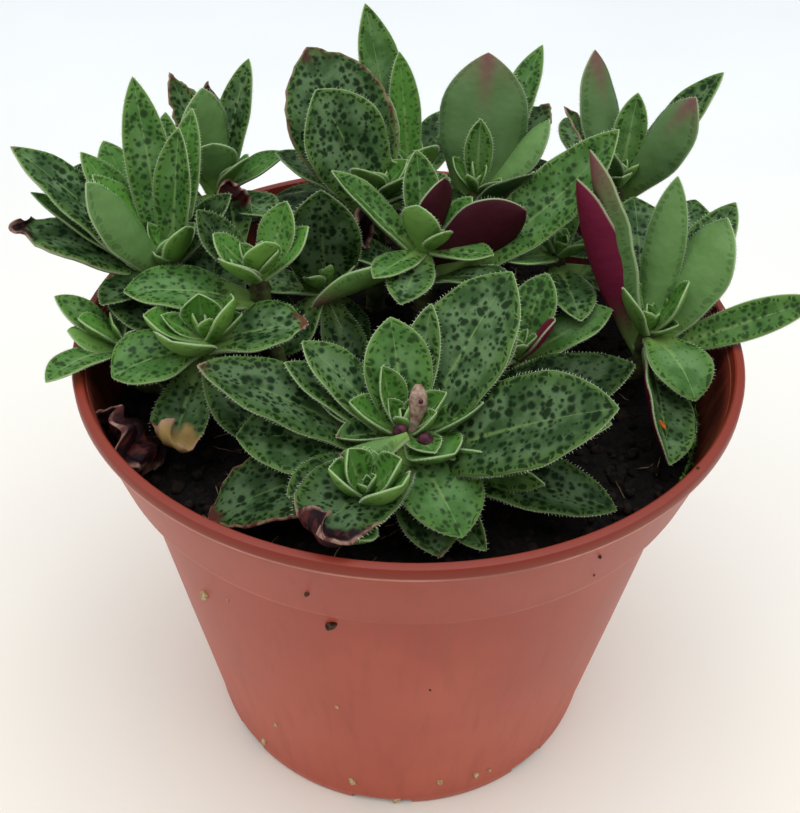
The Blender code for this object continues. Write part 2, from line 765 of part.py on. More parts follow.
def make_dead_leaf(parts, thicket):
    """The shrivelled leaf, which stands on the soil and leans on the pot's wall."""
    leaf, root = thicket.settle("dead_leaf", DEAD_LEAF, lambda _: np.array(DEAD_LEAF_ROOT))
    blade = blade_for(leaf)
    mat = material("dry_leaf", "#4A2A24", 0.8)
    make_leaf("dead_leaf", blade_points(leaf, root, blade), blade.faces, parts, mat)


def make_rosettes(parts, pot, soil):
    """Every stem with its leaves, each node as one body."""
    mat = material("crassula_leaf", "#4C7550", 0.6)
    thicket = Thicket([tree_of(pot), tree_of(soil)])
    make_dead_leaf(parts, thicket)
    stems = {name: make_stem(name, shoot, parts, mat) for name, shoot in SHOOTS.items()}
    thicket.stems = [(SHOOTS[name].node, tree_of(stem)) for name, stem in stems.items()]
    places = {name: thicket.settle_all(shoot, shoot.leaves) for name, shoot in SHOOTS.items()}
    for name, shoot in SHOOTS.items():
        places[name] += thicket.settle_all(shoot, old_leaves(shoot))
    bodies = {}
    for name, shoot in SHOOTS.items():
        bodies.setdefault(shoot.node, []).append(name)
    for node, names in bodies.items():
        body = stems[names[0]]
        body.name = node
        blades = new_collection(node + "_leaves")
        for name in names[1:]:
            blades.objects.link(stems[name])
            parts.objects.unlink(stems[name])
        for name in names:
            wanted = len(SHOOTS[name].leaves) + SHOOTS[name].old_leaves
            print(f"{name}: {len(places[name])} of {wanted} leaves")
            for i, (leaf, root) in enumerate(places[name]):
                blade = blade_for(leaf)
                make_leaf(f"{name}_leaf_{i}", blade_points(leaf, root, blade), blade.faces, blades, mat)
        boolean(body, blades, "UNION", "MANIFOLD")
        keep_main_shell(body.data)


def main():
    """Build the potted plant."""
    clear_scene()
    parts = new_collection("potted_jade_tiger_crassula")
    pot = make_pot(parts)
    soil = make_soil(parts)
    make_rosettes(parts, pot, soil)


if __name__ == "__main__":
    main()
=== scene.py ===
"""Looks for the potted jade tiger crassula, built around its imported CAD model.

The sizes in the classes are in millimetres and degrees, and the meshes are in metres in the frame of
the CAD: the origin is the middle of the pot's underside, +Z is up, and the front is towards -Y.
"""

import logging
import math
from collections.abc import Callable, Sequence
from dataclasses import dataclass, replace
from enum import Enum
from itertools import product

import bpy
import numpy as np
from mathutils import Matrix, Vector
from mathutils.kdtree import KDTree


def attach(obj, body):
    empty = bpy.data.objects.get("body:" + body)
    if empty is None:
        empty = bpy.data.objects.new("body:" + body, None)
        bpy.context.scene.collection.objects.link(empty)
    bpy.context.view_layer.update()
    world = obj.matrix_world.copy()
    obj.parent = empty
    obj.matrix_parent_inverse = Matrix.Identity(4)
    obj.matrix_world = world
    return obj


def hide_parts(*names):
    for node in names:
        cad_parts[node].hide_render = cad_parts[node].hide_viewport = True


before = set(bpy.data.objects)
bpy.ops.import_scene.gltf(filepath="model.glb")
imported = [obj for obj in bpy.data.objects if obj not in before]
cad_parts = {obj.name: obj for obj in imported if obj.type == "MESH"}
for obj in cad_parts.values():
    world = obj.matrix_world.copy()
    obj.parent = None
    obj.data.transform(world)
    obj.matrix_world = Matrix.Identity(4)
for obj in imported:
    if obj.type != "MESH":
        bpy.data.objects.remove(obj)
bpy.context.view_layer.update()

LOG = logging.getLogger("crassula")
MM = 0.001
TURN = 2 * math.pi
FLAT_WITHIN = math.radians(35)
BODY = "root"

Array = np.ndarray
Draw = np.random.Generator
Faces = list[list[int]]
Link = tuple[bpy.types.Node, int | str]
Material = bpy.types.Material
Piece = bpy.types.Object
Point = tuple[float, float, float]
Shape = tuple[Array, Faces]
Span = tuple[float, float]

MAP_SOCKETS = ("Value", "From Min", "From Max", "To Min", "To Max")
# The range that a random turn or phase is drawn from, nearly a whole turn in radians.
ANY_ANGLE = (0, 6.28)
# How far the crumbs and the tufts of moss lean, in radians, and how far each is stretched three ways.
TUMBLE = 0.5
STRETCHES = (0.6, 1.25)


class Slot(Enum):
    """The material slots of the record."""

    POT = "pot_plastic"
    SOIL = "soil"
    LEAF = "leaf"
    DRY_LEAF = "dry_leaf"


class Node(Enum):
    """The shader nodes in use, each with its type, its settings and the sockets that its inputs go to."""

    COORDINATES = "TexCoord", {}, ()
    ATTRIBUTE = "Attribute", {}, ()
    MAPPING = "Mapping", {}, ("Vector", "Scale")
    SPLIT = "SeparateXYZ", {}, (0,)
    SPLIT_COLOUR = "SeparateColor", {}, (0,)
    JOIN = "CombineXYZ", {}, (0, 1)
    LENGTH = "VectorMath", {"operation": "LENGTH"}, (0,)
    SHIFT = "VectorMath", {"operation": "SUBTRACT"}, (0, 1)
    PLACE = "VectorMath", {"operation": "MULTIPLY_ADD"}, (0, 1, 2)
    NOISE = "TexNoise", {}, ("Vector", "Scale", "Detail")
    CELLS = "TexVoronoi", {"voronoi_dimensions": "2D"}, ("Vector", "Scale", "Randomness")
    CHANCE = "TexWhiteNoise", {"noise_dimensions": "1D"}, ("W",)
    RANGE = "MapRange", {}, MAP_SOCKETS
    RAMP = "MapRange", {"interpolation_type": "SMOOTHSTEP"}, MAP_SOCKETS
    ADD = "Math", {"operation": "ADD"}, (0, 1)
    SUBTRACT = "Math", {"operation": "SUBTRACT"}, (0, 1)
    MULTIPLY = "Math", {"operation": "MULTIPLY"}, (0, 1)
    DIVIDE = "Math", {"operation": "DIVIDE"}, (0, 1)
    MULTIPLY_ADD = "Math", {"operation": "MULTIPLY_ADD"}, (0, 1, 2)
    MAXIMUM = "Math", {"operation": "MAXIMUM"}, (0, 1)
    ABSOLUTE = "Math", {"operation": "ABSOLUTE"}, (0,)
    SIGN = "Math", {"operation": "SIGN"}, (0,)
    FLOOR = "Math", {"operation": "FLOOR"}, (0,)
    FRACTION = "Math", {"operation": "FRACT"}, (0,)
    MIX = "Mix", {"data_type": "RGBA"}, (0, 6, 7)
    BRIGHTNESS = "HueSaturation", {}, ("Value", "Color")
    BUMP = "Bump", {}, ("Height", "Strength", "Distance")
    SURFACE = "BsdfPrincipled", {}, ("Base Color", "Roughness", "Normal", "Specular IOR Level")
    OUTPUT = "OutputMaterial", {}, ("Surface",)


def linear(hex_colour: str) -> tuple[float, float, float, float]:
    """Turn an sRGB hex colour to linear RGBA.

    Args:
        hex_colour: The colour as "#RRGGBB".

    Returns:
        The linear colour with an alpha of 1.
    """
    channels = [int(hex_colour[i : i + 2], 16) / 255 for i in (1, 3, 5)]
    red, green, blue = (c / 12.92 if c <= 0.04045 else ((c + 0.055) / 1.055) ** 2.4 for c in channels)
    return red, green, blue, 1.0


class Tree:
    """A new material and its node tree."""

    def __init__(self, name: str) -> None:
        """Make the material with an empty tree.

        Args:
            name: The material's name.
        """
        self.material = bpy.data.materials.new(name)
        self.material.use_nodes = True
        self.material.node_tree.nodes.clear()

    def add(self, kind: Node, *inputs: object, **settings: object) -> bpy.types.Node:
        """Add a shader node with its settings, values and links.

        Args:
            kind: What it does.
            *inputs: Numbers, vectors, hex colours, nodes whose first live output is linked, or pairs of a
                node and its output.
            **settings: Its properties, besides those of its kind.

        Returns:
            The new node.
        """
        name, fixed, sockets = kind.value
        node = self.material.node_tree.nodes.new("ShaderNode" + name)
        for key, value in {**fixed, **settings}.items():
            setattr(node, key, value)
        for socket, value in zip(sockets, inputs):
            if isinstance(value, bpy.types.Node):
                value = (value, next(i for i, output in enumerate(value.outputs) if output.enabled))
            if isinstance(value, tuple) and isinstance(value[0], bpy.types.Node):
                self.material.node_tree.links.new(value[0].outputs[value[1]], node.inputs[socket])
            else:
                node.inputs[socket].default_value = linear(value) if isinstance(value, str) else value
        return node

    def finish(self, *surface: object) -> Material:
        """End the tree in a surface of a colour, a roughness, a normal and a specular level."""
        self.add(Node.OUTPUT, self.add(Node.SURFACE, *surface))
        return self.material


@dataclass(frozen=True)
class PlasticFinish:
    """Injection-moulded polypropylene, terracotta colour.

    Moulding gives it a satin skin with faint flow streaks. The edges that stand out carry pale lines,
    partly scuffs and partly a painted highlight, the lip is darker, the foot has faded, and peat has
    stained the inside of the wall. The mould's fine grain is drawn as coarse as still shows.
    """

    body: str = "#9B3B27"
    faded: str = "#B9604A"
    deep: str = "#813021"
    lip: str = "#742617"
    # Pale of the scuffs, and of the painted highlight on the edges that stand out.
    worn: str = "#C98874"
    dusty: str = "#32150F"
    streak_width: float = 1.6
    streak_squash: float = 0.08
    cloud_width: float = 22.22
    grain: float = 0.35
    relief: float = 0.05
    specular: float = 0.3
    faded_heights: Span = (48.0, 4.0)
    lip_heights: Span = (63.8, 64.6)
    # Height, width and share of each pale edge line: scuffs and a painted highlight.
    scuff_and_highlight_lines: tuple[Point, ...] = ((64.55, 0.28, 1.0), (53.6, 0.3, 0.4), (51.8, 0.3, 0.3))
    collar_foot: float = 53.5
    collar_radius: float = 39.2
    collar_slope: float = 0.264
    stain_depths: Span = (0.5, 0.8)
    stain_heights: Span = (65.5, 62.0)

    def material(self) -> Material:
        """Build the material.

        Returns:
            The material.
        """
        tree = Tree("moulded_polypropylene")
        place = (tree.add(Node.COORDINATES), "Object")
        parts = tree.add(Node.SPLIT, place)
        height = (parts, 2)
        stretched = tree.add(Node.MAPPING, place, (1, 1, self.streak_squash))
        streaks = (tree.add(Node.NOISE, stretched, 1 / (self.streak_width * MM), 3.0), 0)
        clouds = (tree.add(Node.NOISE, place, 1 / (self.cloud_width * MM), 4.0), 0)
        grain = (tree.add(Node.NOISE, place, 1 / (self.grain * MM), 2.0), 0)
        colour = self.body
        for share, coat in (
            (tree.add(Node.RANGE, clouds, 0.42, 0.75, 0.0, 0.55), self.faded),
            (tree.add(Node.RAMP, height, *(z * MM for z in self.faded_heights), 0.0, 0.45), self.faded),
            (tree.add(Node.RAMP, height, *(z * MM for z in self.lip_heights), 0.0, 0.85), self.lip),
            # Pale edge lines: scuffs and painted highlight.
            (self.scuffed_and_highlighted(tree, height, clouds), self.worn),
            (tree.add(Node.RANGE, streaks, 0.5, 0.8, 0.0, 0.3), self.deep),
            (self.stained(tree, parts, streaks), self.dusty),
        ):
            colour = tree.add(Node.MIX, share, colour, coat)
        bump = tree.add(Node.BUMP, grain, 0.12, self.relief * MM)
        rough = tree.add(Node.RANGE, clouds, 0.0, 1.0, 0.34, 0.52)
        return tree.finish(colour, rough, bump, self.specular)

    def scuffed_and_highlighted(self, tree: Tree, height: Link, clouds: Link) -> bpy.types.Node:
        """Paint scuffs and a painted highlight on the edges that stand out: the lip's foot, the two steps
        under the collar.

        Args:
            tree: The material's node tree.
            height: The height in metres.
            clouds: A noise that breaks the lines up.

        Returns:
            The share of the pale colour of scuffs and painted highlight.
        """
        most = 0.0
        for level, width, share in self.scuff_and_highlight_lines:
            away = tree.add(Node.ABSOLUTE, tree.add(Node.SUBTRACT, height, level * MM))
            most = tree.add(Node.MAXIMUM, most, tree.add(Node.RAMP, away, width * MM, 0.0, 0.0, share))
        return tree.add(Node.MULTIPLY, most, tree.add(Node.RAMP, clouds, 0.35, 0.55, 0.35, 1.0))

    def stained(self, tree: Tree, parts: bpy.types.Node, streaks: Link) -> bpy.types.Node:
        """Stain the inside of the wall with peat, thinner towards the lip.

        Args:
            tree: The material's node tree.
            parts: The coordinates in metres.
            streaks: A noise that breaks the stain up.

        Returns:
            The share of the stain.
        """
        radius = (tree.add(Node.LENGTH, tree.add(Node.JOIN, (parts, 0), (parts, 1))), "Value")
        at_foot = (self.collar_radius - self.collar_foot * self.collar_slope) * MM
        outside = tree.add(Node.MULTIPLY_ADD, (parts, 2), self.collar_slope, at_foot)
        depth = tree.add(Node.SUBTRACT, outside, radius)
        share = tree.add(Node.RAMP, depth, *(d * MM for d in self.stain_depths))
        for ramp in (
            tree.add(Node.RAMP, (parts, 2), (self.collar_foot + 0.6) * MM, (self.collar_foot + 1.0) * MM),
            tree.add(Node.RAMP, (parts, 2), *(z * MM for z in self.stain_heights), 0.0, 0.92),
            tree.add(Node.RAMP, streaks, 0.3, 0.6, 0.75, 1.0),
        ):
            share = tree.add(Node.MULTIPLY, share, ramp)
        return share


@dataclass(frozen=True)
class BladeInputs:
    """What the skin of a leaf depends on.

    Place is the millimetres across and along and the leaf's number, and flat is the same in two dimensions,
    shifted by the number. Along is the share of the length, edge is the millimetres from the margin, and
    side is 1 on top and 0 below. Clouds is a noise, and the others are those of Tone.
    """

    tree: Tree
    place: Link
    flat: Link
    across: Link
    length: Link
    along: Link
    edge: Link
    side: Link
    spots: Link
    youth: Link
    flush: Link
    pale: Link
    tip: Link
    margin: Link
    char: Link
    clouds: Link


@dataclass(frozen=True)
class LeafFinish:
    """Living crassula skin: waxy, so it has a soft dull sheen.

    The upper side is sage green with dark spots and a dotted pale margin, the underside is plain, and both
    redden in the sun and dry out brown. The grain stands for the wax's bloom, which is finer than a pixel,
    so it is drawn as coarse as still shows.
    """

    sage: str = "#5F7C52"
    green: str = "#47682F"
    mottle: str = "#2A4820"
    spot: str = "#0A2405"
    band: str = "#608240"
    rim: str = "#AFC194"
    midrib: str = "#7C9A56"
    base: str = "#76984A"
    young: str = "#4F8230"
    under: str = "#5B7A4B"
    under_young: str = "#6A9440"
    rosy: str = "#75504A"
    magenta: str = "#641730"
    maroon: str = "#2C0B11"
    tan: str = "#8F7647"
    brown: str = "#4A221E"
    black: str = "#170B11"
    streak: str = "#7A3A4C"
    crisped: str = "#A07C6E"
    number_step: Point = (13.1, 7.7, 0.0)
    cloud_width: float = 3.5714
    crowd_width: float = 3.0303
    warp_width: float = 1.1111
    warp: Point = (0.5, 0.5, 0.0)
    spot_sizes: tuple[Point, ...] = ((1.25, 0.03, 0.38), (0.75, -0.3, 0.39))
    spot_blur: Span = (-0.2, 0.16)
    dot_pitch: float = 0.85
    dot_inset: float = 0.6
    dot_radius: float = 0.165
    dot_growth: float = 0.22
    dot_jitter: Span = (1.6, 0.5)
    other_side: float = 31.0
    rim_width: float = 0.17
    band_width: float = 1.0
    grain: float = 0.22
    pucker: float = 1.7
    relief: float = 0.07
    sheen: float = 0.13
    red_on_top: Span = (2.4, 2.9)

    def inputs(self, tree: Tree) -> BladeInputs:
        """Read the attributes of the blades.

        Args:
            tree: The material's node tree.

        Returns:
            The inputs of the skin.
        """
        names = ("blade_at", "blade_on", "tone", "wear")
        at, on, tone, wear = (tree.add(Node.ATTRIBUTE, attribute_name=name) for name in names)
        place, where, worn = (tree.add(Node.SPLIT, (a, "Vector")) for a in (at, on, wear))
        amounts = tree.add(Node.SPLIT_COLOUR, (tone, "Color"))
        clouds = tree.add(Node.NOISE, (at, "Vector"), 1 / self.cloud_width, 3.0)
        flat = tree.add(Node.PLACE, (place, 2), self.number_step, (at, "Vector"))
        outputs = [(at, "Vector"), (flat, 0), (place, 0), (place, 1)]
        outputs += [(node, i) for node in (where, amounts) for i in range(3)] + [(tone, "Alpha")]
        outputs += [(worn, i) for i in range(3)]
        return BladeInputs(tree, *outputs, (clouds, 0))

    def material(self) -> Material:
        """Build the material.

        Returns:
            The material.
        """
        tree = Tree("crassula_skin")
        blade = self.inputs(tree)
        green_top = tree.add(Node.RAMP, blade.flush, *self.red_on_top, 1.0, 0.0)
        top = tree.add(Node.MULTIPLY, tree.add(Node.RAMP, blade.side, 0.42, 0.62), green_top)
        row = tree.add(Node.MULTIPLY, self.dots(blade), tree.add(Node.RAMP, blade.along, 0.12, 0.25))
        rim = tree.add(Node.RAMP, blade.edge, 0.05, self.rim_width, 0.6, 0.0)
        skin = tree.add(Node.MIX, top, self.underside(blade, row), self.upper(blade, row))
        skin = tree.add(Node.MIX, rim, skin, self.rim)
        # Pale scales the brightness of the whole skin; below 0 it is mostly painted shade.
        value = tree.add(Node.MULTIPLY_ADD, blade.pale, 0.5, 0.97)
        skin = self.withered(blade, tree.add(Node.BRIGHTNESS, value, skin))
        grain = (tree.add(Node.NOISE, blade.place, 1 / self.grain, 2.0), 0)
        swell = (tree.add(Node.NOISE, blade.place, 1 / self.pucker, 1.0), 0)
        bump = tree.add(Node.BUMP, tree.add(Node.MULTIPLY_ADD, swell, 5.0, grain), 0.5, self.relief * MM)
        rough = tree.add(Node.RANGE, blade.clouds, 0.0, 1.0, 0.42, 0.66)
        # The sheen is scaled by the same brightness, so the painted shade dims the sheen too.
        return tree.finish(skin, rough, bump, tree.add(Node.MULTIPLY, value, self.sheen))

    def upper(self, blade: BladeInputs, row: bpy.types.Node) -> bpy.types.Node:
        """Colour the upper side: grey sage in the middle, greener to the margin, with its marks.

        Args:
            blade: The inputs.
            row: The share of the dots along the margin.

        Returns:
            The node whose output is the colour.
        """
        add = blade.tree.add
        rib_width = add(Node.RANGE, blade.along, 0.0, 0.8, 0.8, 0.06)
        off_rib = add(Node.DIVIDE, add(Node.ABSOLUTE, blade.across), rib_width)
        inland = add(Node.RAMP, blade.edge, 0.55, 0.95)
        inland = add(Node.MULTIPLY, inland, add(Node.RAMP, blade.along, 0.12, 0.32))
        marks = add(Node.MAXIMUM, add(Node.MULTIPLY, self.spots(blade), inland), row)
        ground = self.green
        for share, coat in (
            (add(Node.RAMP, blade.edge, 0.3, 2.8), self.sage),
            (add(Node.RAMP, blade.clouds, 0.42, 0.62, 0.0, 0.85), self.mottle),
            (add(Node.MULTIPLY, blade.youth, 0.9), self.young),
            (add(Node.RAMP, blade.along, 0.12, 0.42, 0.85, 0.0), self.base),
            (add(Node.RAMP, blade.edge, 0.3, self.band_width, 0.6, 0.0), self.band),
            (add(Node.RAMP, off_rib, 0.2, 1.0, 0.6, 0.0), self.midrib),
            (add(Node.MULTIPLY, marks, add(Node.RANGE, blade.youth, 0.0, 1.0, 0.93, 0.6)), self.spot),
        ):
            ground = add(Node.MIX, share, ground, coat)
        return ground

    def spots(self, blade: BladeInputs) -> bpy.types.Node:
        """Scatter soft round spots of two sizes, which crowd and run together here and there.

        Args:
            blade: The inputs.

        Returns:
            The node whose output is the share of the spots.
        """
        add = blade.tree.add
        warp = add(Node.NOISE, blade.place, 1 / self.warp_width, 2.0)
        warped = add(Node.PLACE, add(Node.SHIFT, (warp, 1), (0.5, 0.5, 0.5)), self.warp, blade.flat)
        crowd = add(Node.NOISE, blade.place, 1 / self.crowd_width, 1.0)
        crowded = add(Node.MULTIPLY_ADD, (crowd, 0), 0.6, -0.3)
        marks = []
        for pitch, least, most in self.spot_sizes:
            cells = add(Node.CELLS, warped, 1 / pitch, 0.85)
            size = add(Node.RANGE, (add(Node.SPLIT_COLOUR, (cells, "Color")), 0), 0.0, 1.0, least, most)
            size = add(Node.MULTIPLY, add(Node.ADD, size, crowded), blade.spots)
            marks.append(add(Node.RAMP, add(Node.SUBTRACT, size, (cells, "Distance")), *self.spot_blur))
        return add(Node.MAXIMUM, *marks)

    def dots(self, blade: BladeInputs) -> bpy.types.Node:
        """Set a row of small dots just inside the margin, no two the same size.

        Args:
            blade: The inputs.

        Returns:
            The node whose output is the share of the dots.
        """
        add = blade.tree.add
        jitter = (add(Node.NOISE, blade.place, 1 / self.warp_width, 0.0), 0)
        step = add(Node.MULTIPLY_ADD, jitter, self.dot_jitter[0], blade.length)
        step = add(Node.DIVIDE, step, self.dot_pitch)
        side = add(Node.SIGN, blade.across)
        chance = add(Node.CHANCE, add(Node.MULTIPLY_ADD, side, self.other_side, add(Node.FLOOR, step)))
        step = add(Node.MULTIPLY_ADD, add(Node.FRACTION, step), self.dot_pitch, -self.dot_pitch / 2)
        inset = add(Node.MULTIPLY_ADD, jitter, self.dot_jitter[1], self.dot_inset - self.dot_jitter[1] / 2)
        reach = (add(Node.LENGTH, add(Node.JOIN, step, add(Node.SUBTRACT, blade.edge, inset))), "Value")
        radius = add(Node.MULTIPLY_ADD, (chance, 0), self.dot_growth, self.dot_radius)
        return add(Node.RAMP, add(Node.SUBTRACT, radius, reach), -0.06, 0.08, 0.0, 0.9)

    def underside(self, blade: BladeInputs, row: bpy.types.Node) -> bpy.types.Node:
        """Colour the underside: plain green that reddens by the flush, and faintly the dots on top.

        Args:
            blade: The inputs.
            row: The share of the dots along the margin.

        Returns:
            The node whose output is the colour.
        """
        add = blade.tree.add
        reach = add(Node.SUBTRACT, blade.along, add(Node.MULTIPLY_ADD, blade.flush, -0.8, 0.95))
        middle = add(Node.RAMP, add(Node.ABSOLUTE, blade.across), 0.1, 1.7, 0.6, 0.0)
        middle = add(Node.MULTIPLY, middle, add(Node.RAMP, blade.along, 0.55, 1.0))
        shares = [
            add(Node.MULTIPLY, first, second)
            for first, second in (
                (add(Node.RAMP, reach, 0.0, 0.5), add(Node.RAMP, blade.flush, 0.0, 0.4)),
                (middle, add(Node.RAMP, blade.flush, 0.12, 0.3)),
                (add(Node.RAMP, blade.flush, 0.6, 0.95), add(Node.RAMP, blade.along, 0.05, 0.4)),
                (
                    add(Node.RAMP, blade.flush, 1.0, 1.9, 0.0, 0.85),
                    add(Node.RAMP, blade.flush, *self.red_on_top, 1.0, 0.1),
                ),
            )
        ]
        ground = self.under
        for share, coat in (
            (blade.youth, self.under_young),
            (add(Node.RAMP, blade.clouds, 0.35, 0.7, 0.0, 0.4), self.green),
            (add(Node.RAMP, blade.along, 0.1, 0.4, 0.75, 0.0), self.base),
            (add(Node.MULTIPLY, row, 0.45), self.mottle),
            *zip(shares, (self.rosy, self.streak, self.magenta, self.maroon)),
        ):
            ground = add(Node.MIX, share, ground, coat)
        return ground

    def withered(self, blade: BladeInputs, skin: bpy.types.Node) -> bpy.types.Node:
        """Dry out the tip and the margin.

        Args:
            blade: The inputs.
            skin: The colour so far.

        Returns:
            The node whose output is the colour.
        """
        add = blade.tree.add
        rag = (add(Node.NOISE, blade.place, 1 / self.warp_width, 4.0), 0)
        shaken = add(Node.MULTIPLY_ADD, blade.clouds, 0.4, -0.2)
        worn = add(Node.MULTIPLY_ADD, shaken, add(Node.RAMP, blade.tip, 0.0, 0.1), blade.tip)
        reach = add(Node.RAMP, add(Node.ADD, blade.along, worn), 0.98, 1.06)
        end = add(Node.MULTIPLY, reach, add(Node.RAMP, blade.tip, 0.0, 0.03))
        band = add(Node.MULTIPLY_ADD, rag, 2.0, add(Node.SUBTRACT, blade.edge, 1.0))
        band = add(Node.MULTIPLY, add(Node.RAMP, band, 0.1, 0.6, 1.0, 0.0), blade.margin)
        band = add(Node.MULTIPLY, band, add(Node.RAMP, blade.along, 0.25, 0.6))
        crisp = add(Node.RAMP, blade.edge, 0.12, 0.6, 0.8, 0.0)
        crisp = add(Node.MULTIPLY, crisp, add(Node.RAMP, rag, 0.35, 0.55))
        charred = add(Node.MIX, add(Node.RAMP, rag, 0.34, 0.52), self.brown, self.black)
        dry = self.tan
        for share, coat in (
            (add(Node.RAMP, blade.char, 0.1, 0.5), self.brown),
            (add(Node.RAMP, blade.char, 0.5, 1.0, 0.0, 0.95), charred),
            (crisp, self.crisped),
        ):
            dry = add(Node.MIX, share, dry, coat)
        return add(Node.MIX, add(Node.MAXIMUM, end, band), skin, dry)


@dataclass(frozen=True)
class SpeckledFinish:
    """A rough natural surface: two colours mixed by a noise, with a bump of the same grain."""

    name: str
    light: str
    dark: str
    grain: float
    roughness: float
    bump: float
    sheen: float = 0.15

    def material(self) -> Material:
        """Build the material.

        Returns:
            The material.
        """
        tree = Tree(self.name)
        place = (tree.add(Node.COORDINATES), "Object")
        noise = (tree.add(Node.NOISE, place, 1 / (self.grain * MM), 4.0), 0)
        colour = tree.add(Node.MIX, tree.add(Node.RANGE, noise, 0.35, 0.65), self.dark, self.light)
        bump = tree.add(Node.BUMP, noise, self.bump, self.grain * MM / 2)
        return tree.finish(colour, self.roughness, bump, self.sheen)


# Damp peat, dark and painted darker still, near black, as the shade under the leaves: dull and coarse, with
# crumbs a little browner.
SHADED_PEAT = SpeckledFinish("peat", "#17120F", "#080606", 0.8, 0.95, 0.8)
SHADED_PEAT_CRUMB = SpeckledFinish("peat_crumbs", "#251D18", "#0B0807", 1.3, 0.95, 0.6)
# Coconut fibre in the peat: pale straw threads, dull and smooth.
FIBRE = SpeckledFinish("coir_fibre", "#8A7558", "#4A3826", 1.5, 0.9, 0.2)
# Moss: fresh yellow-green tips over dark ones.
MOSS = SpeckledFinish("moss", "#56762F", "#1F3512", 1.2, 0.8, 0.3)
# Crassula stem: fleshy and green with browner old skin.
STEM = SpeckledFinish("green_stem", "#4E5C30", "#2C261A", 1.8, 0.75, 0.4)
# Marginal hairs: glassy and white, drawn about twice as thick as real so that they still show.
HAIR = SpeckledFinish("leaf_hairs", "#E6ECDC", "#BCCAA6", 0.8, 0.5, 0.0)
# Dried flower stalk: papery buff skin with pinkish brown patches.
STALK = SpeckledFinish("cut_flower_stalk", "#B09A86", "#7A5A50", 0.7, 0.7, 0.4)
# Dried flower buds: dark wine red with a slight gloss.
BUD = SpeckledFinish("flower_buds", "#5B2F3C", "#24101A", 0.6, 0.45, 0.3)
# A fallen petal's scrap: bright orange, matt and veined.
PETAL = SpeckledFinish("orange_petal_fleck", "#D9832E", "#A04E12", 0.7, 0.6, 0.3)
# Grit that clings to the pot: dull sand, and darker bits of peat.
GRIT = SpeckledFinish("pale_grit", "#CDB48C", "#8C7350", 0.5, 0.8, 0.5)
DARK_GRIT = SpeckledFinish("dark_grit", "#5E4030", "#1E1512", 0.5, 0.85, 0.5)


@dataclass(frozen=True)
class TableFinish:
    """Pale painted table, matt, with painted light: warm near the viewer and cooler farther back."""

    near: str = "#ECE7DC"
    far: str = "#EAEDED"
    reach: Span = (-0.05, 0.3)
    cloud_width: float = 111.1

    def material(self) -> Material:
        """Build the material.

        Returns:
            The material.
        """
        tree = Tree("pale_table")
        place = (tree.add(Node.COORDINATES), "Object")
        parts = tree.add(Node.SPLIT, place)
        clouds = (tree.add(Node.NOISE, place, 1 / (self.cloud_width * MM), 3.0), 0)
        # Painted light: the tint turns from warm near the viewer to cool farther back.
        colour = tree.add(Node.MIX, tree.add(Node.RAMP, (parts, 1), *self.reach), self.near, self.far)
        shade = tree.add(Node.RANGE, clouds, 0.0, 1.0, 0.94, 1.05)
        return tree.finish(tree.add(Node.BRIGHTNESS, shade, colour), 0.6)


def deselect_all() -> None:
    """Leave object mode ready for operators, with nothing selected."""
    if bpy.context.mode != "OBJECT":
        bpy.ops.object.mode_set(mode="OBJECT")
    bpy.ops.object.select_all(action="DESELECT")


def modelled(operator: str, **settings: object) -> Shape:
    """Model a start shape by an operator and read it.

    Args:
        operator: The name of a mesh primitive operator.
        **settings: Its settings.

    Returns:
        The shape's points and faces.
    """
    deselect_all()
    getattr(bpy.ops.mesh, operator)(**settings)
    obj = bpy.context.object
    mesh = obj.data
    points = np.array([v.co for v in mesh.vertices])
    faces = [list(p.vertices) for p in mesh.polygons]
    bpy.data.objects.remove(obj, do_unlink=True)
    bpy.data.meshes.remove(mesh)
    return points, faces


def copied(faces: Faces, corners: int, copies: int) -> Faces:
    """Number the faces of the copies of a shape with so many corners."""
    return [[v + i * corners for v in face] for i in range(copies) for face in faces]


def settle(obj: Piece, slot: Slot, *nodes: str) -> Piece:
    """Put a piece on the plant's body, and hide the CAD nodes that it replaces.

    Args:
        obj: The piece.
        slot: Not used.
        *nodes: The CAD nodes that it replaces.

    Returns:
        The piece.
    """
    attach(obj, BODY)
    if nodes:
        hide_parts(*nodes)
    LOG.info("%s: %d triangles", obj.name, sum(len(p.vertices) - 2 for p in obj.data.polygons))
    return obj


def make_piece(name: str, shape: Shape, finish: Material, slot: Slot, *nodes: str) -> Piece:
    """Make a smooth-shaded piece and settle it.

    Args:
        name: Its name.
        shape: Its points in millimetres and its faces.
        finish: Its material.
        slot: The record's material slot that it takes its finish from.
        *nodes: The CAD nodes that it replaces.

    Returns:
        The piece, linked to the scene.
    """
    points, faces = shape
    mesh = bpy.data.meshes.new(name)
    mesh.from_pydata((points * MM).tolist(), [], faces)
    mesh.polygons.foreach_set("use_smooth", [True] * len(faces))
    mesh.materials.append(finish)
    obj = bpy.data.objects.new(name, mesh)
    bpy.context.scene.collection.objects.link(obj)
    return settle(obj, slot, *nodes)


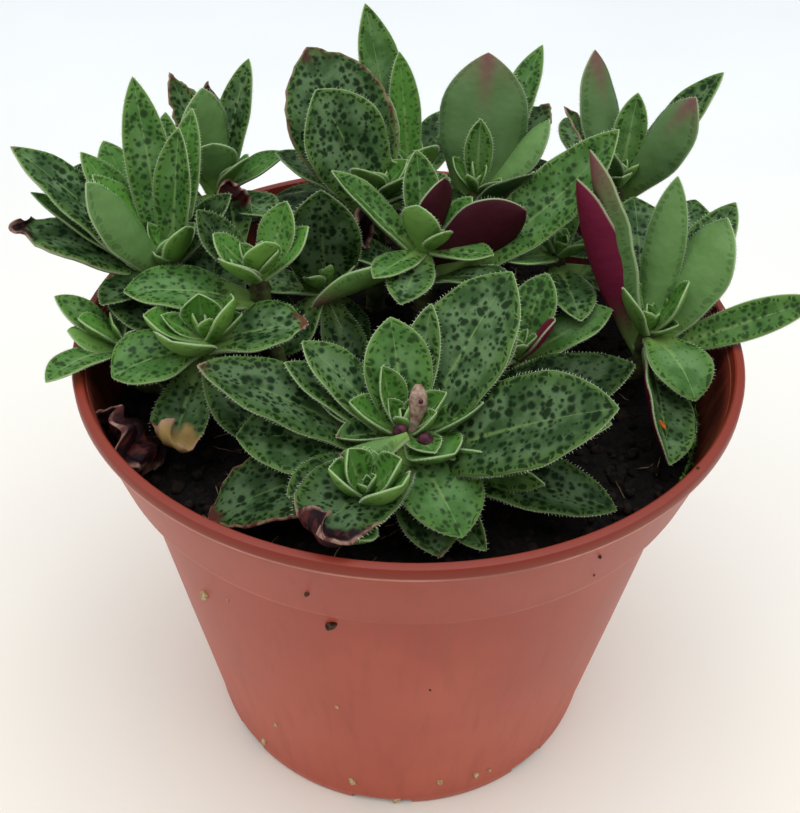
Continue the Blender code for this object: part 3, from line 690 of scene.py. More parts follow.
def turned(name: str, profile: Sequence[Span], steps: int) -> Piece:
    """Turn a closed section about Z: a circle is extruded and resized in edit mode, ring by ring.

    Args:
        name: The object's name.
        profile: Radius and height in millimetres, with the first and last rings closed by flat discs.
        steps: Points round a ring.

    Returns:
        The turned object.
    """
    deselect_all()
    radius, height = profile[0]
    bpy.ops.mesh.primitive_circle_add(vertices=steps, radius=radius * MM, location=(0, 0, height * MM))
    obj = bpy.context.object
    obj.name = name
    bpy.ops.object.mode_set(mode="EDIT")
    bpy.ops.mesh.select_mode(type="EDGE")
    bpy.ops.mesh.edge_face_add()
    bpy.ops.mesh.select_all(action="SELECT")
    bpy.ops.mesh.region_to_loop()
    for (r0, z0), (r1, z1) in zip(profile, profile[1:]):
        bpy.ops.mesh.extrude_edges_move(TRANSFORM_OT_translate={"value": (0, 0, (z1 - z0) * MM)})
        scale = r1 / r0
        bpy.ops.transform.resize(value=(scale, scale, 1), center_override=(0, 0, z1 * MM))
    bpy.ops.mesh.edge_face_add()
    bpy.ops.mesh.select_all(action="SELECT")
    bpy.ops.mesh.normals_make_consistent(inside=False)
    bpy.ops.object.mode_set(mode="OBJECT")
    bpy.ops.object.transform_apply(location=True, rotation=True, scale=True)
    bpy.ops.object.shade_smooth_by_angle(angle=FLAT_WITHIN)
    return obj


def scattered(
    name: str, shape: Shape, places: Array, sizes: Array, draw: Draw, finish: SpeckledFinish
) -> Piece:
    """Copy a small shape to many places on the soil, each copy turned and stretched on its own.

    Args:
        name: The piece's name.
        shape: The shape.
        places: Where each copy stands, in millimetres.
        sizes: The size of each copy.
        draw: The random numbers.
        finish: The finish.

    Returns:
        The piece.
    """
    points, faces = shape
    made = []
    for place, size in zip(places, sizes):
        turn = Matrix.Rotation(draw.uniform(*ANY_ANGLE), 3, "Z")
        turn = turn @ Matrix.Rotation(draw.normal(0, TUMBLE), 3, "X")
        made.append((points * (draw.uniform(*STRETCHES, 3) * size)) @ np.array(turn).T + place)
    faces = copied(faces, len(points), len(made))
    return make_piece(name, (np.concatenate(made), faces), finish.material(), Slot.SOIL)


def tubes(paths: Sequence[tuple[Array, float | Array]], sides: int) -> Shape:
    """Make closed tubes along lines.

    Args:
        paths: For each tube, its line in millimetres and its radius, or a radius for each point.
        sides: Points round a tube.

    Returns:
        The points and the faces of all of them.
    """
    points, faces = [], []
    for line, radius in paths:
        steps, count = len(line), len(points)
        radii = np.broadcast_to(radius, (steps,))
        ahead = np.gradient(line, axis=0)
        ahead /= np.linalg.norm(ahead, axis=1)[:, None]
        first = np.cross(ahead[0], (0.3, 0.9, 0.1))
        for i in range(steps):
            first = first - (first @ ahead[i]) * ahead[i]
            first /= np.linalg.norm(first)
            second = np.cross(ahead[i], first)
            for k in range(sides):
                angle = TURN * k / sides
                points.append(line[i] + radii[i] * (math.cos(angle) * first + math.sin(angle) * second))
        for i in range(steps - 1):
            for k in range(sides):
                a, b = count + i * sides + k, count + i * sides + (k + 1) % sides
                faces.append([a, b, b + sides, a + sides])
        faces.append([count + k for k in range(sides)][::-1])
        faces.append([count + (steps - 1) * sides + k for k in range(sides)])
    return np.array(points), faces


@dataclass
class Pot:
    """The thin moulded nursery pot with its collar, rolled lip, drain holes and notched foot ring."""

    rim_radius: float = 42.5
    height: float = 66.0
    collar_height: float = 12.5
    collar_foot: float = 39.2
    step: float = 1.8
    body_top: float = 37.2
    base_radius: float = 30.0
    wall: float = 0.8
    lip_width: float = 1.2
    foot_inner: float = 27.5
    floor_under: float = 2.0
    disc_radius: float = 13.0
    drains: int = 8
    drain_radius: float = 2.6
    drain_ring: float = 20.0
    drain_depth: float = 2.8
    drain_sides: int = 24
    notches: int = 8
    first_notch: float = -94.0
    notch_widths: Span = (17.0, 12.0)
    notch_radii: Span = (26.0, 32.0)
    notch_heights: Span = (-1.0, 1.4)
    steps: int = 160

    def radius_at(self, height: float) -> float:
        """Find the outer radius at a height.

        Args:
            height: The height.

        Returns:
            The radius.
        """
        foot = self.height - self.collar_height
        radii = (self.base_radius, self.body_top, self.collar_foot, self.rim_radius)
        return float(np.interp(height, (0.0, foot - self.step, foot, self.height), radii))

    def profile(self) -> list[Span]:
        """Give the section: under the floor, up the outside, over the lip and down the inside.

        Returns:
            Radius and height of each ring, with the edges rounded.
        """
        foot = self.height - self.collar_height
        body_top = foot - self.step
        top, rim = self.height, self.rim_radius
        inner_rim = rim - self.lip_width
        inner_foot = self.collar_foot - self.wall
        floor = self.floor_under + self.wall
        under = [
            (self.disc_radius, 0.0),
            (self.disc_radius + 0.3, 0.15),
            (self.disc_radius + 1.0, self.floor_under),
            (self.foot_inner - 0.5, self.floor_under),
            (self.foot_inner, 0.1),
            (self.foot_inner + 0.15, 0.0),
        ]
        outside = [
            (self.base_radius - 0.45, 0.0),
            (self.base_radius - 0.1, 0.15),
            (self.radius_at(0.6), 0.6),
            (self.radius_at(2.2), 2.2),
            (self.radius_at(2.5) - 0.12, 2.5),
            (self.radius_at(26.0), 26.0),
            (self.body_top - 0.05, body_top - 0.4),
            (self.body_top + 0.15, body_top + 0.15),
            (self.collar_foot - 0.35, foot - 0.3),
            (self.collar_foot, foot + 0.1),
            (self.radius_at(foot + 0.8) + 0.03, foot + 0.8),
            (self.radius_at(top - 2.1) - 0.12, top - 2.1),
            (rim - 0.42, top - 1.75),
            (rim - 0.08, top - 1.68),
            (rim, top - 1.5),
            (rim - 0.03, top - 0.3),
            (rim - 0.2, top - 0.06),
            (rim - 0.45, top),
        ]
        inside = [
            (inner_rim + 0.15, top),
            (inner_rim - 0.05, top - 0.15),
            (inner_foot + 0.2, foot + 0.5),
            (inner_foot - 0.2, foot - 0.1),
            (self.body_top - self.wall, body_top),
            (self.base_radius - self.wall, floor),
            (self.disc_radius + 1.0 - self.wall / 2, floor),
            (self.disc_radius - self.wall / 2, self.wall),
        ]
        return under + outside + inside

    def build(self) -> Piece:
        """Model the pot.

        Returns:
            The pot, which replaces its CAD node.
        """
        pot = turned("nursery_pot", self.profile(), self.steps)
        cutters = [self.drain(TURN * (i + 0.5) / self.drains) for i in range(self.drains)]
        for i in range(self.notches):
            cutters.append(self.notch(self.first_notch + i * 360 / self.notches, self.notch_widths[i % 2]))
        deselect_all()
        for cutter in cutters:
            cutter.select_set(True)
        bpy.context.view_layer.objects.active = cutters[0]
        bpy.ops.object.join()
        deselect_all()
        pot.select_set(True)
        bpy.context.view_layer.objects.active = pot
        modifier = pot.modifiers.new("cut", "BOOLEAN")
        modifier.object = cutters[0]
        modifier.operation = "DIFFERENCE"
        modifier.solver = "EXACT"
        bpy.ops.object.modifier_apply(modifier=modifier.name)
        bpy.data.objects.remove(cutters[0], do_unlink=True)
        pot.data.materials.append(PlasticFinish().material())
        bpy.ops.object.shade_smooth_by_angle(angle=FLAT_WITHIN)
        return settle(pot, Slot.POT, "pot")

    def drain(self, angle: float) -> Piece:
        """Make the peg that cuts one drain hole.

        Args:
            angle: Where the hole is, in radians.

        Returns:
            The peg.
        """
        x, y = self.drain_ring * math.cos(angle), self.drain_ring * math.sin(angle)
        place = Vector((x, y, self.floor_under + self.wall / 2)) * MM
        radius, depth = self.drain_radius * MM, self.drain_depth * MM
        deselect_all()
        bpy.ops.mesh.primitive_cylinder_add(
            vertices=self.drain_sides, radius=radius, depth=depth, location=place
        )
        return bpy.context.object

    def notch(self, azimuth: float, width: float) -> Piece:
        """Make the block that cuts one notch of the foot ring.

        Args:
            azimuth: Where the notch's middle is.
            width: Its width in degrees.

        Returns:
            The block.
        """
        deselect_all()
        bpy.ops.mesh.primitive_cube_add(size=2.0)
        block = bpy.context.object
        for vert in block.data.vertices:
            radius = self.notch_radii[vert.co.x > 0]
            angle = math.radians(azimuth + math.copysign(width / 2, vert.co.y))
            height = self.notch_heights[vert.co.z > 0]
            vert.co = Vector((radius * math.cos(angle), radius * math.sin(angle), height)) * MM
        return block


@dataclass
class Soil:
    """Dark peat with crumbs and fibres, and a patch of moss by the wall on the right."""

    pot: Pot
    level: float = 55.0
    crown: float = 1.2
    gap: float = 0.3
    steps: int = 120
    ring_pitch: float = 1.3
    roughness: float = 0.35
    crumbs: int = 1500
    crumb_draws: Span = (0.25, 1.0)
    crumb_growth: float = 0.95
    crumb_least: float = 0.2
    fibres: int = 110
    fibre_radius: float = 0.07
    fibre_lengths: Span = (2.0, 5.0)
    fibre_bows: Span = (-0.8, 0.8)
    fibre_lift: float = 0.55
    fibre_slope: float = 0.4
    fibre_room: float = 3.5
    moss_tufts: int = 700
    moss_place: Span = (37.4, -8.0)
    moss_spread: Span = (1.0, 5.5)
    moss_climb: float = 2.2
    tuft_sizes: Span = (0.6, 1.3)
    seed: int = 5

    def height_at(self, x: float, y: float) -> float:
        """Find the height of the surface.

        Args:
            x: The place to the right.
            y: The place to the back.

        Returns:
            The height.
        """
        reach = math.hypot(x, y) / self.pot.collar_foot
        lumps = 0.35 * math.sin(0.31 * x + 0.9) * math.cos(0.27 * y - 0.4)
        lumps += 0.25 * math.sin(0.52 * y + 0.2 * x)
        return self.level + self.crown * (1 - reach**2) + lumps

    def edge(self) -> float:
        """Give the radius where the surface meets the wall."""
        return self.pot.radius_at(self.level) - self.pot.wall - self.gap

    def build(self) -> None:
        """Model the soil and what lies on it."""
        draw = np.random.default_rng(self.seed)
        self.bed(draw)
        self.make_crumbs(draw)
        self.make_fibres(draw)
        self.make_moss(draw)

    def bed(self, draw: Draw) -> Piece:
        """Turn the bed of peat and roughen its surface.

        Args:
            draw: The random numbers.

        Returns:
            The bed, which replaces its CAD node.
        """
        side = self.pot.wall + self.gap
        foot = self.pot.height - self.pot.collar_height
        bottom = self.pot.floor_under + self.pot.wall + self.gap
        rings = np.arange(self.edge(), 0.5, -self.ring_pitch)
        outline = [(self.pot.radius_at(bottom) - side - 0.3, bottom)]
        outline += [(self.pot.body_top - side, foot - self.pot.step), (self.pot.collar_foot - side, foot)]
        bed = turned("peat_bed", outline + [(float(r), self.level) for r in rings], self.steps)
        for vert in bed.data.vertices:
            if vert.co.z > (self.level - 0.1) * MM:
                x, y = vert.co.x / MM, vert.co.y / MM
                rough = draw.normal(0, self.roughness) if math.hypot(x, y) < self.edge() - 0.5 else 0.0
                vert.co.z = (self.height_at(x, y) + rough) * MM
        # The peat is painted near black for the shade under the leaves.
        bed.data.materials.append(SHADED_PEAT.material())
        return settle(bed, Slot.SOIL, "soil")

    def scatter(self, draw: Draw, count: int) -> Array:
        """Draw places on the surface, as many to the area everywhere.

        Args:
            draw: The random numbers.
            count: How many.

        Returns:
            One row of x, y and z for each.
        """
        radius = (self.edge() - 0.8) * np.sqrt(draw.uniform(0, 1, count))
        angle = draw.uniform(0, TURN, count)
        x, y = radius * np.cos(angle), radius * np.sin(angle)
        return np.array([(a, b, self.height_at(a, b)) for a, b in zip(x, y)])

    def make_crumbs(self, draw: Draw) -> Piece:
        """Copy one small lump over the bed, each turned and sized on its own.

        Args:
            draw: The random numbers.

        Returns:
            The piece.
        """
        lump = modelled("primitive_ico_sphere_add", subdivisions=1, radius=1.0)
        places = self.scatter(draw, self.crumbs)
        sizes = draw.uniform(*self.crumb_draws, self.crumbs) ** 2 * self.crumb_growth + self.crumb_least
        # The crumbs are painted nearly as dark, for the same shade.
        return scattered("peat_crumbs", lump, places, sizes, draw, SHADED_PEAT_CRUMB)

    def make_fibres(self, draw: Draw) -> Piece:
        """Lay thin bent fibres over the crumbs.

        Args:
            draw: The random numbers.

        Returns:
            The piece.
        """
        paths = []
        for x, y, z in self.scatter(draw, self.fibres):
            shrink = min(1.0, (self.edge() - self.fibre_room) / max(math.hypot(x, y), 1e-6))
            turn = draw.uniform(0, TURN)
            length, bow = draw.uniform(*self.fibre_lengths), draw.uniform(*self.fibre_bows)
            line = [
                (
                    x * shrink + length * s * math.cos(turn) - bow * (0.25 - s * s) * math.sin(turn) * 2,
                    y * shrink + length * s * math.sin(turn) + bow * (0.25 - s * s) * math.cos(turn) * 2,
                    z + self.fibre_lift + self.fibre_slope * draw.normal() * s,
                )
                for s in np.linspace(-0.5, 0.5, 6)
            ]
            paths.append((np.array(line), self.fibre_radius))
        return make_piece("coir_fibres", tubes(paths, 4), FIBRE.material(), Slot.SOIL)

    def make_moss(self, draw: Draw) -> Piece:
        """Stand small tufts of moss where the wall meets the soil on the right.

        Args:
            draw: The random numbers.

        Returns:
            The piece.
        """
        tuft = modelled("primitive_cone_add", vertices=4, radius1=0.3, radius2=0.0, depth=1.0)
        places = []
        for _ in range(self.moss_tufts):
            x, y = (at + draw.normal(0, spread) for at, spread in zip(self.moss_place, self.moss_spread))
            shrink = min(1.0, (self.edge() - 0.2) / math.hypot(x, y))
            x, y = x * shrink, y * shrink
            places.append((x, y, self.height_at(x, y) + self.moss_climb * draw.uniform(0.1, 1.0) ** 2))
        sizes = draw.uniform(*self.tuft_sizes, self.moss_tufts)
        return scattered("moss_patch", tuft, np.array(places), sizes, draw, MOSS)


@dataclass(frozen=True)
class Tone:
    """How one kind of leaf is coloured.

    Spots and youth go from 0 to 1, and pale from about -1 to 1: above 0 the skin is paler, and below 0 the
    whole leaf is darkened, mostly as painted shade for leaves in the shade of others. A flush of 0.5 reddens
    the underside towards its tip, 1 makes all of it magenta, 2 makes it maroon, and 3 reddens both sides.
    Tip is the withered share of the length, and margin is how far the edge has dried and torn. Char is the
    colour of what has withered: 0 is tan, 0.5 brown and 1 black. Roll is the rolled-up share of the length.
    """

    spots: float
    youth: float
    flush: float = 0.0
    pale: float = 0.0
    tip: float = 0.0
    margin: float = 0.0
    char: float = 0.5
    roll: float = 0.0


class Look(Enum):
    """The kinds of leaf that the plant carries. The looks with pale below 0 are darkened, mostly as painted
    shade.
    """

    SPOTTED = Tone(1.0, 0.0, flush=0.1, pale=-0.15)
    DIM = Tone(1.0, 0.0, flush=0.1, pale=-0.55)
    SAGE = Tone(0.9, 0.4)
    FRESH = Tone(0.7, 0.75)
    YOUNG = Tone(0.5, 1.0)
    # A darker green, darkened further as painted shade for low leaves in the shade of others; SHADED is all
    # painted shade.
    DEEP = Tone(1.0, 0.0, pale=-0.95)
    SHADED = Tone(1.0, 0.0, pale=-1.3)
    PLAIN = Tone(0.15, 0.3, flush=0.15, pale=0.05)
    CUPPED = Tone(0.0, 0.6, pale=0.1)
    PALE = Tone(0.9, 0.2, flush=0.1, pale=0.35)
    PINK_TIP = Tone(0.9, 0.0, flush=0.3, pale=-0.1)
    ROSY = Tone(0.9, 0.1, flush=0.45)
    BLUSHED = Tone(0.6, 0.6, flush=0.35, pale=0.5)
    MAGENTA = Tone(0.95, 0.0, flush=1.0)
    MAROON = Tone(0.8, 0.0, flush=1.9, tip=0.05, char=1.0)
    TIPPED = Tone(1.0, 0.0, tip=0.05)
    FRECKLED = Tone(1.0, 0.0, pale=-0.6, tip=0.06, char=0.6)
    RED_TOP = Tone(0.3, 0.0, flush=3.0, pale=0.2)
    RUSTY = Tone(1.0, 0.0, tip=0.12, char=0.4)
    CHARRED = Tone(1.0, 0.0, flush=0.3, tip=0.14, margin=0.3, char=1.0, roll=0.05)
    PURPLE_END = Tone(1.0, 0.0, flush=0.4, pale=-0.8, tip=0.24, char=1.0, roll=0.15)
    TAN_TIP = Tone(0.9, 0.0, pale=-0.6, tip=0.32, char=0.05, roll=0.24)
    EDGED = Tone(1.0, 0.0, pale=-0.3, tip=0.06, margin=0.8, char=0.6)
    RAGGED = Tone(1.0, 0.0, flush=0.3, pale=-0.8, tip=0.08, margin=1.0, char=0.45)
    CURLED = Tone(0.9, 0.0, flush=0.3, pale=-0.6, tip=0.36, char=0.8, roll=0.15)
    DARK_TIP = Tone(0.3, 0.3, pale=-0.2, tip=0.14, char=1.0)
    DEAD = Tone(0.5, 0.0, pale=-0.5, tip=1.3, char=1.0)


@dataclass(frozen=True)
class Leaf:
    """A leaf's direction at mid length, its length and width, what it looks like and how its blade bends.

    Azimuth 0 is +X and 90 is +Y. Curl is how much the rise changes from root to tip, fold is how far the
    margins stand above the midrib over the half width, and twist turns the blade about its own line. A
    drop puts the leaf's root that far below the middle of the rosette.
    """

    azimuth: float
    rise: float
    length: float
    width: float
    look: Look = Look.SPOTTED
    curl: float = -15.0
    fold: float = 0.2
    twist: float = 0.0
    drop: float = 0.0

    def out(self) -> Array:
        """Give the level direction that it grows in."""
        azimuth = math.radians(self.azimuth)
        return np.array([math.cos(azimuth), math.sin(azimuth), 0.0])


@dataclass(frozen=True)
class StemForm:
    """How every stem runs, and where its leaves leave it, as in the CAD."""

    foot_level: float = 44.3
    out_level: float = 57.0
    upright_top: float = 5.0
    branch_top: float = 2.5
    over_crown: float = 0.8
    bends: Span = (0.35, 0.7)
    root_off_axis: float = 0.4
    drop_per_length: float = 0.25
    no_drop_length: float = 8.0
    drops: Span = (-0.5, 5.0)


STEM_FORM = StemForm()


@dataclass(frozen=True)
class Shoot:
    """A leafy stem: its CAD node, where it starts, the middle of its rosette, its radius and its leaves.

    A start of (x, y) is where it leaves the soil. A start of (x, y, z) is inside the stem that it branches
    from. One without leaves is the stub of a flower stalk.
    """

    node: str
    start: tuple[float, ...]
    crown: Point
    radius: float
    leaves: tuple[Leaf, ...]
    old_leaves: int
    seed: int

    def path(self) -> list[Array]:
        """Follow the middle of the stem.

        Returns:
            Points from its foot to its top.
        """
        crown = np.array(self.crown, float)
        top = crown + (0, 0, STEM_FORM.over_crown)
        if len(self.start) == 3:
            return [np.array(self.start, float), top - (0, 0, STEM_FORM.branch_top), top]
        below = crown - (0, 0, STEM_FORM.upright_top)
        out = np.array([*self.start, STEM_FORM.out_level])
        points = [np.array([*self.start, STEM_FORM.foot_level]), out]
        for t in STEM_FORM.bends:
            ease = t * t * (3 - 2 * t)
            points.append(out + (below - out) * (ease, ease, t))
        return points + [below, top]

    def root(self, leaf: Leaf) -> Array:
        """Find where a leaf leaves the stem.

        Args:
            leaf: The leaf.

        Returns:
            The start of its middle line.
        """
        lower = STEM_FORM.drop_per_length * (leaf.length - STEM_FORM.no_drop_length)
        drop = leaf.drop or min(max(lower, STEM_FORM.drops[0]), STEM_FORM.drops[1])
        points = np.array(self.path())
        height = self.crown[2] - drop
        middle = np.array([np.interp(height, points[:, 2], points[:, i]) for i in (0, 1)] + [height])
        return middle + STEM_FORM.root_off_axis * leaf.out()


@dataclass(frozen=True)
class BladeForm:
    """The outline and section that every blade has in the CAD, and the finer relief of the real one."""

    root_width: float = 0.30
    swell: float = 2.118
    swell_power: float = 1.216
    tip_power: float = 2.2
    tip_bluntness: float = 0.9
    thin: float = 0.5
    thick_per_width: float = 0.13
    groove: float = 0.55
    groove_width: float = 0.3
    ripple: float = 0.16
    ripple_pitch: float = 6.5
    crumple: float = 0.32
    crumple_from: float = 0.1
    tear: float = 0.8
    tear_most: float = 0.35
    roll_radius: float = 1.0
    roll_slant: float = 0.05

    def half_width(self, leaf: Leaf, along: Array) -> Array:
        """Give half the blade's width at each share of its length."""
        swell = self.root_width + self.swell * along**self.swell_power
        return leaf.width / 2 * (swell * (1 - along**self.tip_power) ** self.tip_bluntness)

    def lines(self, leaf: Leaf, root: Array, along: Array) -> tuple[Array, Array, Array, Array]:
        """Follow the blade's middle.

        Args:
            leaf: The leaf.
            root: Where its middle line starts.
            along: Shares of its length.

        Returns:
            For each share, the middle, and the directions along, across and out of the upper side.
        """
        out = leaf.out()
        side = np.array([-out[1], out[0], 0.0])
        upright = np.array([0.0, 0.0, 1.0])
        curl = math.radians(leaf.curl if abs(leaf.curl) > 0.1 else 0.1)
        start = math.radians(leaf.rise) - curl / 2
        angle = (start + curl * along)[:, None]
        level, height = np.sin(angle) - math.sin(start), math.cos(start) - np.cos(angle)
        middle = (level * out + height * upright) / curl
        tangent = np.cos(angle) * out + np.sin(angle) * upright
        normal = -np.sin(angle) * out + np.cos(angle) * upright
        twist = math.radians(leaf.twist)
        wide = math.cos(twist) * side + math.sin(twist) * normal
        face = -math.sin(twist) * side + math.cos(twist) * normal
        return root + middle * leaf.length, tangent, wide, face

    def points(
        self, leaf: Leaf, root: Array, along: Array, across: Array, up: Array, phase: float
    ) -> Array:
        """Place points of the blade.

        Args:
            leaf: The leaf.
            root: Where its middle line starts.
            along: Shares of its length.
            across: Shares of its half width.
            up: Shares of its half thickness.
            phase: Where its ripples start.

        Returns:
            The points in millimetres.
        """
        tone = leaf.look.value
        middle, _, wide, face = self.lines(leaf, root, along)
        x = along * leaf.length
        half = self.torn(self.half_width(leaf, along), tone.margin, along, x, across, phase)
        thick = (self.thin + self.thick_per_width * leaf.width) * np.sqrt(np.maximum(1 - along**3, 0))
        groove = np.where(up > 0, self.groove * np.exp(-((across / self.groove_width) ** 2)), 0.0)
        waves = np.sin(TURN * along * leaf.length / self.ripple_pitch + phase + np.sign(across))
        ripple = self.ripple * waves * across**2 * half / 4
        lift = leaf.fold * half * across**2 + up * (1 - groove) * thick / 2 + ripple
        if tone.tip >= self.crumple_from:
            reach = np.clip((along - 1 + 1.7 * tone.tip) / (0.9 * tone.tip), 0, 1)
            y = across * half
            folds = np.sin(1.3 * x + phase + 1.1 * np.sin(0.9 * y))
            folds = folds + 0.7 * np.sin(1.7 * y - phase + 0.8 * np.sin(1.1 * x))
            folds = folds + 0.35 * np.sin(3.7 * y + 2.9 * x)
            lift = lift + self.crumple * (1 + tone.tip) * reach * folds
            middle = middle + wide * (0.4 * self.crumple * reach * np.sin(3.1 * x + 2 * phase))[:, None]
        if tone.roll:
            middle, face = self.rolled(leaf, root, along, across, middle, face)
        return middle + wide * (half * across)[:, None] + face * lift[:, None]

    def torn(self, half: Array, share: float, along: Array, x: Array, across: Array, phase: float) -> Array:
        """Tear bits out of the margin of the outer half.

        Args:
            half: Half the blade's width.
            share: How much of it is torn.
            along: Shares of its length.
            x: The same in millimetres.
            across: Shares of its half width.
            phase: Where its ripples start.

        Returns:
            What is left of the half width.
        """
        gone = 0.5 + 0.5 * np.sin(2.9 * x + phase + 2 * np.sign(across))
        gone = gone * (0.6 + 0.4 * np.sin(6.7 * x - phase))
        torn = share * np.clip((along - 0.45) / 0.3, 0, 1) * np.clip((1 - along) / 0.05, 0, 1)
        return half - np.minimum(self.tear * torn * gone, self.tear_most * half)

    def rolled(
        self, leaf: Leaf, root: Array, along: Array, across: Array, middle: Array, face: Array
    ) -> tuple[Array, Array]:
        """Roll the end of a withered blade up over its upper side.

        Args:
            leaf: The leaf.
            root: Where its middle line starts.
            along: Shares of its length.
            across: Shares of its half width.
            middle: Where the middle line runs so far.
            face: The directions out of the upper side so far.

        Returns:
            The middle line and the directions out of the upper side.
        """
        start = 1 - leaf.look.value.roll + self.roll_slant * across
        foot, ahead, _, out = self.lines(leaf, root, start)
        turn = (np.maximum(along - start, 0) * leaf.length / self.roll_radius)[:, None]
        past = (along > start)[:, None]
        curled = foot + self.roll_radius * (np.sin(turn) * ahead + (1 - np.cos(turn)) * out)
        facing = np.cos(turn) * out - np.sin(turn) * ahead
        return np.where(past, curled, middle), np.where(past, facing, face)


BLADE_FORM = BladeForm()

